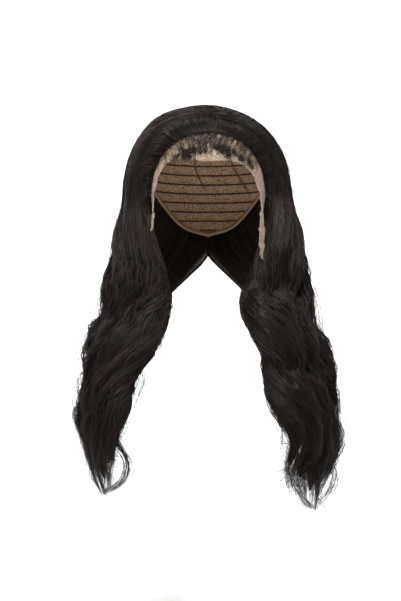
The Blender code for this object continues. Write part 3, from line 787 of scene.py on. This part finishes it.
def section_strands(word, section, clumps, each, rings, rng):
    """Hairs of one section, in clumps that wave together and draw to a point."""
    n = clumps * each
    which = np.repeat(np.arange(clumps), each)
    place = np.arange(clumps) + rng.uniform(0.2, 0.8, clumps)
    centre = (section + place / clumps) / len(SECTIONS)
    s = np.linspace(0, 1, rings)[None, :]
    own = rng.normal(0, 0.5 / (len(SECTIONS) * clumps), n)
    tip = lock_end(word, centre) + rng.normal(0.0, 0.018, clumps)
    short = np.where(rng.random(n) < SHORT_SHARE, rng.uniform(0.62, 0.92, n), 1.0)
    end = np.minimum(tip[which] + rng.normal(0.0, 0.014, n), LONGEST_END) * short
    root = np.where(
        rng.random(n) < 0.6, rng.uniform(0, 0.03, n), rng.uniform(0, 0.22, n)
    )
    t = root[:, None] + (end - root)[:, None] * s
    lock = np.floor(centre * LOCKS)
    phase = (SIDES[word][2] + 0.9 * lock + rng.normal(0, 0.7, clumps))[which][:, None]
    size = rng.uniform(0.6, 1.6, clumps)[which][:, None]
    sideways, inward = body_wave(t, phase + rng.normal(0, 0.15, (n, 1)), size)
    draw = ((lock + 0.5) / LOCKS - centre)[which][:, None] * 0.35
    draw = draw * smooth_step(t, 0.7, 0.98)
    narrow = 1.0 + 0.5 * smooth_step(t, 0.2, 0.4) - 0.80 * smooth_step(t, 0.5, 1.0)
    u = centre[which][:, None] + own[:, None] * narrow * 1.3 + sideways + draw
    if section == 0:  # the hairline belongs to the hair that is swept back from it
        u = u + (0.10 - 0.30 * np.clip(u, 0, 0.3)) * (1 - smooth_step(t, 0.12, 0.30))
    layer = rng.uniform(0.82, 1.06, clumps)[which][:, None]
    inside = (rng.random(n) < INNER_SHARE)[:, None]
    deep = layer + 0.05 * rng.uniform(-1, 1, (n, 1)) + inward
    deep = np.where(inside, rng.uniform(-0.03, 0.06, (n, 1)), deep)
    return strand_points(word, np.clip(u, 0, 1), t, deep, SECTION_SWAY, rng)


def swept_strands(word, count, rings, rng):
    """Hairs rooted along the hairline: they run back from it over the crown, then turn
    down the side and join the falls."""
    s = np.linspace(0, 1, rings)[None, :] ** 1.15
    along = rng.uniform(0, 1, count) ** 0.85
    root_t = along * 0.27 - 0.004
    root_u = rng.normal(0, 0.008, count)
    goal = 0.44 * (1 - along) ** 1.2 + 0.05
    goal = goal + rng.normal(0, 0.05, count) * (1.1 - along)
    goal = np.clip(goal, 0.012, 0.62)
    clump = np.round(along * SWEPT_CLUMPS) / SWEPT_CLUMPS
    goal = goal + 0.018 * np.sin(40.0 * clump)
    end = lock_end(word, np.clip(goal, 0, 0.999)) + rng.normal(-0.01, 0.03, count)
    end = np.minimum(end, LONGEST_END)
    short = rng.random(count) < SWEPT_SHORT_SHARE
    end = end * np.where(short, rng.uniform(0.55, 0.9, count), 1.0)
    late = 0.075 * (1 - along)[:, None] + 0.012
    run = s - late * (1 - np.exp(-s / late))
    run = run / run[:, -1:]
    t = root_t[:, None] + (end - root_t)[:, None] * run
    reach = 1 - np.exp(-s / 0.085)
    u = root_u[:, None] + (goal - root_u)[:, None] * reach
    phase = (SIDES[word][2] + 2.0 * np.sin(23.0 * clump))[:, None]
    sideways, inward = body_wave(t, phase, rng.uniform(0.7, 1.2, (count, 1)))
    u = u + sideways
    deep = rng.uniform(0.88, 1.06, (count, 1)) + inward
    deep = deep * (0.25 + 0.75 * smooth_step(s, 0.0, 0.03))
    path, lift = strand_points(word, u, np.abs(t), deep, SWEPT_SWAY, rng)
    # the knots are spread over a few millimetres of lace ahead of the hairline
    turn = np.abs(root_t) / DOME_SHARE * 90.0
    ahead = smooth_table(HAIRLINE, 1, turn) + rng.uniform(-1.0, 3.0, count)
    root, _ = on_head(np.minimum(turn, 92.0), ahead, LACE_WALL + 0.4 * MM)
    held = (1.0 - smooth_step(s, 0.0, 0.022))[..., None]
    return path + (root[:, None] - path) * held, lift


def taper(count, rings, width, rng, root=0.55):
    """Half widths of hairs: finer at the root, full in the middle, fine at the tip."""
    s = np.linspace(0, 1, rings)[None, :]
    shape = (root + (1 - root) * smooth_step(s, 0, 0.12)) * (
        1 - 0.88 * smooth_step(s, 0.72, 1)
    )
    return 0.5 * width * shape * rng.uniform(0.7, 1.25, (count, 1))


def wound_paths(x, y, heading, length, bend, late, rings):
    """Paths in a plane that start straight and wind up: the heading turns by the sum of
    a bend that grows from nothing to its full size after the share late."""
    s = np.linspace(0, 1, rings)[None, :]
    growing = smooth_step(s - late[:, None], -0.15, 0.25)
    turning = np.cumsum(bend[:, None] * growing, axis=1)
    way = heading[:, None] + turning / rings
    step = length[:, None] / (rings - 1)
    dx, dy = np.sin(way) * step, np.cos(way) * step
    dx[:, 0], dy[:, 0] = 0.0, 0.0
    return x[:, None] + np.cumsum(dx, axis=1), y[:, None] + np.cumsum(dy, axis=1)


def baby_strands(word, rings, rng, fringe):
    """Baby hair: fine hairs that leave the hairline forward over the lace and curl at
    their ends, and clusters whose hairs wind up into small flat rings."""
    side = SIDES[word][0]
    turn0 = rng.uniform(-3, 70, fringe)
    start = smooth_table(HAIRLINE, 1, np.abs(turn0)) - rng.uniform(0, 2.0, fringe)
    room = smooth_table(LACE_EDGES[word], 1, np.abs(turn0)) - 4.0 - start
    reach = np.clip(rng.normal(0.74, 0.20, fringe), 0.3, 1.0) * room * FORWARD_DEGREE
    length = reach * rng.uniform(1.1, 1.7, fringe)
    heading = rng.normal(0, 0.32, fringe)
    winds = rng.uniform(0.5, 2.2, fringe) * rng.choice([-1, 1], fringe)
    tufts = [row for row in TUFTS if row[0] * side > 0]
    table = np.repeat(np.array(tufts), [row[3] for row in tufts], axis=0)
    m = len(table)
    spread = table[:, 2] * MM
    aside = rng.normal(0, 0.5, m) * spread / (LACE_TURN_SHARE * TURN_DEGREE)
    middle_turn = np.abs(table[:, 0]) + aside
    middle = table[:, 1] + rng.normal(0, 0.55, m) * spread / FORWARD_DEGREE
    curl = rng.uniform(1.1, 3.0, m) * MM
    round_trips = rng.uniform(1.2, 2.8, m)
    x = np.concatenate([turn0, middle_turn]) * LACE_TURN_SHARE * TURN_DEGREE
    y = np.concatenate([start, middle - 2.0]) * FORWARD_DEGREE
    path_x, path_y = wound_paths(
        x,
        y,
        np.concatenate([heading, rng.uniform(-1.4, 1.4, m)]),
        np.concatenate([length, 2 * np.pi * curl * round_trips]),
        np.concatenate([winds, round_trips * rng.choice([-1, 1], m)]) * 2 * np.pi * 1.3,
        np.concatenate([rng.uniform(0.35, 0.75, fringe), np.full(m, -0.1)]),
        rings,
    )
    forward = path_y / FORWARD_DEGREE
    turn = path_x / (LACE_TURN_SHARE * TURN_DEGREE)
    s = np.linspace(0, 1, rings)[None, :]
    top = np.concatenate([np.full(fringe, 1.4), np.full(m, 3.4)])[:, None]
    rise = top * rng.random((fringe + m, 1)) * np.sin(np.pi * s) ** 0.7
    return on_head(side * turn, forward, LACE_WALL + (0.5 + rise) * MM)


def loose_strands(side, hairs, at_root, at_end, rows, rings, rng):
    """Loose hairs along a smooth curve through the rows: they fan out towards its end,
    or draw together to a point where the spread at the end is the smaller."""
    rows = np.array(rows, float)
    knots = np.column_stack([np.arange(len(rows)), rows])
    s = np.linspace(0, 1, rings)
    at = s * (len(rows) - 1)
    guide = np.stack([smooth_table(knots, c, at) for c in (1, 2, 3)], -1)
    guide = guide * MM * np.array([side, 1, 1])
    fan = np.clip(rng.normal(0, 1, (hairs, 1, 3)), -2, 2)
    fan = fan * np.array([1.0, 0.8, 1.3]) * MM
    path = guide[None] + fan * (at_root + (at_end - at_root) * s[None, :, None] ** 1.3)
    turns, late = rng.uniform(1.0, 3.0, (hairs, 1)), rng.random((hairs, 1))
    wobble = rng.normal(0, 0.3 * at_end + 0.2, (hairs, 1)) * MM
    path[..., 0] += wobble * np.sin(2 * np.pi * (turns * s[None] + late)) * s[None]
    lift = np.zeros_like(path)
    lift[..., 1] = -1.0
    return path, lift


def end_curls(word, count, rings, rng):
    """Thin ends that curl out of the tips of a fall: from places in its lower part each
    runs down in an upright plane while its heading turns one way or the other."""
    u, t = rng.uniform(0.04, 0.96, (count, 1)), rng.uniform(0.78, 0.89, (count, 1))
    point = mantle(word, u, t)
    normal = mantle_normal(word, u, t, point)
    thick = full_thickness(word, u, t, point[..., 2])
    thick = thick * rng.uniform(0.3, 0.9, (count, 1))
    root = (point + normal * thick[..., None])[:, 0]
    # the outer ends turn in towards the fall and most of the inner ones out
    inwards = rng.random(count) < smooth_step(root[:, 0], 80 * MM, 128 * MM)
    turning = np.where(inwards, 1.0, -1.0)
    x, z = wound_paths(
        root[:, 0],
        root[:, 2],
        np.pi + turning * rng.uniform(-0.25, 0.8, count),
        rng.uniform(28, 60, count) * MM,
        turning * rng.uniform(0.2, 0.75, count) * 2 * np.pi,
        rng.uniform(0.1, 0.5, count),
        rings,
    )
    s = np.linspace(0, 1, rings)[None, :]
    y = root[:, 1:2] + rng.normal(0, 4.0, (count, 1)) * MM * s
    path = np.stack([x, y, z], axis=-1)
    return path, np.zeros_like(path) + np.array([0.0, -1.0, 0.0])


def flyaway_strands(word, count, rings, rng):
    """Single hairs that stand off the crown and, curling more, off the falls."""
    s = np.linspace(0, 1, rings)[None, :]
    u = rng.uniform(0, 1, (count, 1)) + 0.05 * rng.normal(0, 1, (count, 1)) * s
    start = rng.uniform(0.0, 0.78, (count, 1)) ** 0.8
    end = np.minimum(start + rng.uniform(0.15, 0.45, (count, 1)), 1.0)
    t = start + (end - start) * s
    size = rng.uniform(0.4, 1.8, (count, 1))
    sideways, inward = body_wave(t, rng.uniform(0, 2 * np.pi, (count, 1)), size)
    stand = rng.uniform(0.04, 0.24, (count, 1)) * (0.6 + smooth_step(t, 0.4, 0.8))
    deep = 0.98 + stand * np.sin(np.pi * np.minimum(s * 1.1, 1)) + 0.6 * inward
    return strand_points(word, np.clip(u + sideways, 0, 1), t, deep, FLYAWAY_SWAY, rng)


def cap_grids(rings, spare):
    """The cap's inner and outer faces: rings of the head from the crown to the cap's
    edge, which is the lace seam ahead of the ears and the lower edge behind them."""
    half = np.concatenate(
        [np.linspace(0, 60, 13), np.linspace(63, 78.5, 10), np.linspace(81, 180, 34)]
    )
    turn = np.radians(np.concatenate([half, 360.0 - half[-2:0:-1]]))
    fold = np.abs((np.degrees(turn) + 180.0) % 360.0 - 180.0)
    low = np.arccos(1.0 + smooth_table(CAP_EDGE, 1, fold) * MM / CROWN_TO_EARS)
    seam = -(SEAM_Y + 0.4 * MM) / HEAD_HALF_LENGTH
    ahead = np.maximum(np.cos(turn), 1e-6)
    inside = np.arcsin(np.clip(seam / ahead, 0, 1))
    edge = np.minimum(low, np.where(ahead > seam, inside, math.pi))
    share = np.linspace(0, 1, rings + 1)[1:, None] ** 0.9
    tilt = share * edge[None, :] - spare
    out = np.stack(
        [
            np.sin(tilt) * np.sin(turn),
            -np.sin(tilt) * np.cos(turn),
            np.cos(tilt) + 0 * turn,
        ],
        axis=-1,
    )
    size = np.array([HEAD_HALF_BREADTH, HEAD_HALF_LENGTH, CROWN_TO_EARS])
    return out * size - np.array([0.0, 0.0, CROWN_TO_EARS])


def cap_shell(rings):
    """Closed cap: two domes of rings with one top point each, joined at the rim."""
    inner = cap_grids(rings, 0.0)
    outer = inner + head_normal(inner) * CAP_WALL
    cols = inner.shape[1]
    number = np.arange(rings * cols).reshape(rings, cols)
    after = np.roll(number, -1, axis=1)
    a, b, c, d = number[:-1], after[:-1], after[1:], number[1:]
    off = rings * cols
    out = np.stack([a, b, c, d], -1).reshape(-1, 4)[:, ::-1]
    within = np.stack([a, b, c, d], -1).reshape(-1, 4) + off
    rim = np.stack([after[-1], number[-1], number[-1] + off, after[-1] + off], 1)
    tops = np.full(cols, 2 * off)
    quads = np.concatenate([out, within, rim])
    fans = np.concatenate(
        [
            np.stack([tops, number[0], after[0]], 1),
            np.stack([tops + 1, after[0] + off, number[0] + off], 1),
        ]
    )
    verts = np.concatenate(
        [outer.reshape(-1, 3), inner.reshape(-1, 3), [[0, 0, CAP_WALL], [0, 0, 0]]]
    )
    flat = verts[:, :2] / (2.1 * HEAD_HALF_LENGTH)
    spot = flat * 0.48 + np.array([0.25, 0.5])
    spot[off : 2 * off, 0] += 0.5
    spot[-1, 0] += 0.5
    at = spot[quads]
    strip = slice(len(out) + len(within), None)
    at[strip] = np.where(at[strip][..., :1] > 0.5, at[strip] - (0.496, 0), at[strip])
    return verts, [quads, fans], [at, spot[fans]]


def lace_grids(rows, columns):
    """The lace panel: on the head above the ears and loose below them, with finer
    crinkles and a ragged raw edge."""
    halves = []
    for word in ("left", "right"):
        table = LACE_EDGES[word]
        turn = np.linspace(0, 1, columns) ** 0.92 * table[-1][0]
        front = smooth_table(table, 1, turn)
        back = np.maximum(smooth_table(table, 2, turn), table[0][2])  # at the seam
        ragged = 0.5 * np.sin(1.9 * turn) * np.sin(0.53 * turn + 1.0)
        front = front + ragged
        share = np.linspace(0, 1, rows + 1)[None, :]
        forward = front[:, None] + (back - front)[:, None] * share
        turns = np.repeat(turn[:, None], rows + 1, 1)
        inner, normal = on_head(turns, forward)
        loose = smooth_step(turns + 24.0 * (1.0 - share), 104.0, 130.0)
        edge = (1.0 - share) ** 2
        wave = LACE_CRINKLE * np.sin(0.22 * turns + 2.0 * share)
        wave = wave + 0.5 * MM * np.sin(0.61 * turns + 5.0 * share)
        wave = wave * (loose + 0.5 * edge * smooth_step(turns, 55.0, 80.0))
        inner = inner + normal * (np.abs(wave) + 0.25 * MM)[..., None]
        inner[..., 0] += LACE_HANG_OUTWARD * loose
        inner[..., 1] -= LACE_HANG_FORWARD * loose
        outer = inner + normal * 0.5 * MM
        halves.append((mirrored(outer, word), mirrored(inner, word)))
    outer = np.concatenate([halves[1][0][:0:-1], halves[0][0]])
    inner = np.concatenate([halves[1][1][:0:-1], halves[0][1]])
    return outer, inner


def track_paths():
    """Rows of stitching that hold the wefts, level with each other round the cap."""
    levels = np.linspace(*WEFT_LEVELS, WEFT_ROWS) * MM
    rows, lifts = [], []
    for level in levels:
        up = level / CROWN_TO_EARS + 1.0
        ring = math.sqrt(1.0 - up * up)
        fold = np.linspace(0, 180, 181)
        edge = smooth_table(CAP_EDGE, 1, fold) * MM
        ahead = -HEAD_HALF_LENGTH * ring * np.cos(np.radians(fold))
        open_at = fold[(edge < level - 5 * MM) & (ahead > SEAM_Y + 4 * MM)].min()
        a = np.radians(np.linspace(open_at, 360 - open_at, 64))
        x = HEAD_HALF_BREADTH * ring * np.sin(a)
        y = -HEAD_HALF_LENGTH * ring * np.cos(a)
        path = np.stack([x, y, np.full_like(a, level)], -1)
        normal = head_normal(path)
        rows.append(path - normal * 0.35 * MM)
        lifts.append(-normal)
    return np.array(rows), np.array(lifts)


def strand_piece(name, word, path, lift, look, width, rng, each):
    """One piece of strands, each a flat tapered tube. The hairs of a clump keep near
    one depth of black, and each is how many there are in a clump."""
    n, rings = path.shape[:2]
    wide = taper(n, rings, width, rng)
    tone = np.repeat(rng.uniform(0.04, 0.93, n // each), each)
    tone = tone + 0.006 * np.clip(rng.normal(0, 1, n), -3, 3)
    path, lift = mirrored(path, word), mirrored(lift, word)
    parts = tubes(path, lift, wide, wide * 0.6, STRAND_SIDES, tone)
    new_piece(name, *parts, look, "hair")


def fine_hair_piece(name, path, lift, width, height, look, rng, stands_for=()):
    """One piece of fine hairs, each a tapered tube with its own depth of black. Its
    height is given as a share of its width."""
    wide = taper(len(path), STRAND_RINGS, width, rng, 0.9)
    tone = rng.uniform(0.01, 0.97, len(path))
    parts = tubes(path, lift, wide, wide * height, STRAND_SIDES, tone)
    new_piece(name, *parts, look, "hair", stands_for)


# ---------------------------------------------------------------------------- operators
class WigHair(bpy.types.PropertyGroup):
    strand_width: FloatProperty(
        name="Strand width",
        description="Width of one modelled strand, which stands for a few hairs",
        default=1.25 * MM,
        unit="LENGTH",
    )
    clumps: IntProperty(
        name="Clumps", description="Waving clumps in each section", default=20
    )
    strands: IntProperty(
        name="Strands", description="Strands in each clump", default=26
    )
    swept: IntProperty(
        name="Swept strands",
        description="Strands from the hairline, on each side",
        default=620,
    )
    colour: FloatVectorProperty(
        name="Black",
        description="Colour of the darkest hair",
        subtype="COLOR",
        size=4,
        default=linear("#070606"),
    )
    warm: FloatVectorProperty(
        name="Warm",
        description="Colour of the brownest hair",
        subtype="COLOR",
        size=4,
        default=linear("#2d211b"),
    )


class WigCap(bpy.types.PropertyGroup):
    lace: FloatVectorProperty(
        name="Lace",
        description="Skin tone that the lace is dyed",
        subtype="COLOR",
        size=4,
        default=linear("#8b796a"),
    )
    net: FloatVectorProperty(
        name="Net",
        description="Colour of the stretch cap's threads",
        subtype="COLOR",
        size=4,
        default=linear("#8f7458"),
    )


class WIG_OT_cap(bpy.types.Operator):
    """Build the stretch cap with its weft rows and edge tape"""

    bl_idname = "wig.cap"
    bl_label = "Cap"

    def execute(self, context):
        sizes = context.scene.wig_cap
        net = net_look("stretch_net", sizes.net, linear("#2a211b"))
        new_piece("cap_net", *cap_shell(CAP_RINGS), net, "cap_net", ["cap"])
        path, lift = track_paths()
        size = np.ones(path.shape[:2]) * MM
        tone = np.linspace(0.05, 0.9, len(path))
        dark = tape_look("weft_stitching", linear("#241b16"))
        new_piece(
            "weft_rows",
            *tubes(path, lift, size * 1.5, size * 0.5, 4, tone, 0.05),
            dark,
            "cap_net",
        )
        rim = cap_grids(1, 0.026)[0][None]
        inward = -head_normal(rim)
        size = np.ones(rim.shape[:2]) * MM
        tape = tape_look("edge_tape", linear("#6f573f"))
        new_piece(
            "edge_tape",
            *tubes(
                rim + inward * 0.5 * MM,
                inward,
                size * 3.2,
                size * 0.6,
                6,
                np.array([0.1]),
                0.8,
                ring=True,
            ),
            tape,
            "cap_net",
        )
        return {"FINISHED"}


class WIG_OT_lace(bpy.types.Operator):
    """Build the lace panel with its raw edge"""

    bl_idname = "wig.lace"
    bl_label = "Lace"

    def execute(self, context):
        look = lace_look("swiss_lace", context.scene.wig_cap.lace)
        sheet = closed_sheet(*lace_grids(LACE_ROWS, LACE_COLUMNS))
        new_piece("lace_panel", *sheet, look, "lace", ["lace_front"])
        return {"FINISHED"}


class WIG_OT_hair(bpy.types.Operator):
    """Build the six sections of hair and the hair swept back from the hairline"""

    bl_idname = "wig.hair"
    bl_label = "Hair"

    def execute(self, context):
        sizes = context.scene.wig_hair
        width, each = sizes.strand_width, sizes.strands
        rng = np.random.default_rng(HAIR_SEED)
        under = mass_look("hair_mass", sizes.colour, sizes.warm)
        over = hair_look(
            "hair_strands", sizes.colour, sizes.warm, 0.34, STRAND_LINES
        )[0]
        for word in ("left", "right"):
            for section, name in enumerate(SECTIONS):
                node = f"hair_{name}_{word}"
                mass = hair_mass(word, section, MASS_ROWS, MASS_COLUMNS)
                new_piece(node + "_mass", *mass, under, "hair", [node])
                path, lift = section_strands(
                    word, section, sizes.clumps, each, STRAND_RINGS, rng
                )
                name = node + "_strands"
                strand_piece(name, word, path, lift, over, width, rng, each)
            path, lift = swept_strands(word, sizes.swept, STRAND_RINGS, rng)
            strand_piece(f"swept_hair_{word}", word, path, lift, over, width, rng, 1)
        return {"FINISHED"}


class WIG_OT_loose_hair(bpy.types.Operator):
    """Build the loose wisps and single hairs that leave the falls"""

    bl_idname = "wig.loose_hair"
    bl_label = "Loose hair"

    def execute(self, context):
        sizes = context.scene.wig_hair
        rng = np.random.default_rng(LOOSE_SEED)
        look = hair_look("fine_hair", sizes.colour, sizes.warm, 0.45, STRAND_LINES)[0]
        paths, lifts = [], []
        for row in LOOSE + STRAY:
            path, lift = loose_strands(*row, STRAND_RINGS, rng)
            paths.append(path)
            lifts.append(lift)
        for word, curls in END_CURLS.items():
            for path, lift in (
                flyaway_strands(word, FLYAWAY_HAIRS, STRAND_RINGS, rng),
                end_curls(word, curls, STRAND_RINGS, rng),
            ):
                paths.append(mirrored(path, word))
                lifts.append(mirrored(lift, word))
        path, lift = np.concatenate(paths), np.concatenate(lifts)
        fine_hair_piece("loose_hair", path, lift, LOOSE_WIDTH, 1.0, look, rng)
        return {"FINISHED"}


class WIG_OT_baby_hair(bpy.types.Operator):
    """Build the baby hair that lies on the lace"""

    bl_idname = "wig.baby_hair"
    bl_label = "Baby hair"

    def execute(self, context):
        sizes = context.scene.wig_hair
        rng = np.random.default_rng(BABY_SEED)
        look = hair_look("baby_hair", sizes.colour, sizes.warm, 0.5, STRAND_LINES)[0]
        for word in ("left", "right"):
            path, lift = baby_strands(word, STRAND_RINGS, rng, FRINGE_HAIRS)
            node = "baby_hair_" + word
            fine_hair_piece(
                node + "_curls", path, lift, BABY_WIDTH, 0.8, look, rng, [node]
            )
        return {"FINISHED"}


class WIG_OT_studio(bpy.types.Operator):
    """Build the pale studio, its soft lights and the camera"""

    bl_idname = "wig.studio"
    bl_label = "Studio"

    def execute(self, context):
        scene = context.scene
        paper, tree, shader = blank("studio_paper")
        connect(tree, shader, {"Base Color": linear("#f6f6f6"), "Roughness": 0.9})
        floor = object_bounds()[0][2] - FLOOR_DROP
        # a sheet of paper: level ahead, a quarter round, then upright behind
        bend = np.radians(np.linspace(0, 90, 24))
        depth = np.concatenate([[-6.0, -2.0, 1.0], 1.6 + 0.8 * np.sin(bend), [2.4]])
        height = np.concatenate([[0, 0, 0], 0.8 * (1 - np.cos(bend)), [6.0]]) + floor
        across = np.array([-6.0, 6.0])
        verts = np.stack(
            [
                np.repeat(across[None, :], len(depth), 0),
                np.repeat(depth[:, None], 2, 1),
                np.repeat(height[:, None], 2, 1),
            ],
            -1,
        ).reshape(-1, 3)
        number = np.arange(len(verts)).reshape(-1, 2)
        faces = np.stack(
            [number[:-1, 0], number[:-1, 1], number[1:, 1], number[1:, 0]], 1
        )
        mesh = bpy.data.meshes.new("studio_sweep")
        mesh.from_pydata(verts.tolist(), [], faces.tolist())
        mesh.shade_smooth()
        mesh.materials.append(paper)
        sweep = bpy.data.objects.new("studio_sweep", mesh)
        scene.collection.objects.link(sweep)
        sweep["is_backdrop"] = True

        for name, place, aim, size, power in LIGHTS:
            lamp = bpy.data.lights.new(name, "AREA")
            lamp.shape = "DISK"
            lamp.size, lamp.energy = size, power
            made = bpy.data.objects.new(name, lamp)
            made.location = place
            # turned so that its -Z axis points along the way from its place to its aim
            away = np.array(aim) - np.array(place)
            flat = math.hypot(away[0], away[1])
            made.rotation_euler = (
                math.atan2(flat, -away[2]),
                0.0,
                math.atan2(-away[0], away[1]),
            )
            scene.collection.objects.link(made)

        world = bpy.data.worlds.new("studio_air")
        world.use_nodes = True
        air = world.node_tree.nodes["Background"]
        white = linear("#ffffff")
        connect(world.node_tree, air, {"Color": white, "Strength": AIR_STRENGTH})
        scene.world = world
        scene.view_settings.view_transform = "Standard"
        lens = bpy.data.cameras.new("camera")
        lens.sensor_fit = "VERTICAL"
        half = 0.5 * PICTURE_ROWS * PICTURE_ROW * MM
        lens.angle = 2 * math.atan(half / -CAMERA_PLACE[1])
        camera = bpy.data.objects.new("camera", lens)
        camera.location = CAMERA_PLACE
        camera.rotation_euler = (math.pi / 2, 0.0, 0.0)
        scene.collection.objects.link(camera)
        scene.camera = camera
        return {"FINISHED"}


class WIG_PT_panel(bpy.types.Panel):
    """The wig's sizes, colours and build buttons"""

    bl_idname = "WIG_PT_panel"
    bl_label = "Lace front wig"
    bl_space_type = "VIEW_3D"
    bl_region_type = "UI"
    bl_category = "Wig"

    def draw(self, context):
        column = self.layout.column()
        for name in ("strand_width", "clumps", "strands", "swept", "colour", "warm"):
            column.prop(context.scene.wig_hair, name)
        for name in ("lace", "net"):
            column.prop(context.scene.wig_cap, name)
        for step in STEPS:
            column.operator(step.bl_idname)


STEPS = (
    WIG_OT_cap,
    WIG_OT_lace,
    WIG_OT_hair,
    WIG_OT_loose_hair,
    WIG_OT_baby_hair,
    WIG_OT_studio,
)
CLASSES = (WigHair, WigCap, *STEPS, WIG_PT_panel)


def register():
    for kind in CLASSES:
        bpy.utils.register_class(kind)
    bpy.types.Scene.wig_hair = PointerProperty(type=WigHair)
    bpy.types.Scene.wig_cap = PointerProperty(type=WigCap)


def unregister():
    del bpy.types.Scene.wig_cap
    del bpy.types.Scene.wig_hair
    for kind in reversed(CLASSES):
        bpy.utils.unregister_class(kind)


def main():
    register()
    bpy.ops.wig.cap()
    bpy.ops.wig.lace()
    bpy.ops.wig.hair()
    bpy.ops.wig.loose_hair()
    bpy.ops.wig.baby_hair()
    bpy.ops.wig.studio()


if __name__ == "__main__":
    main()
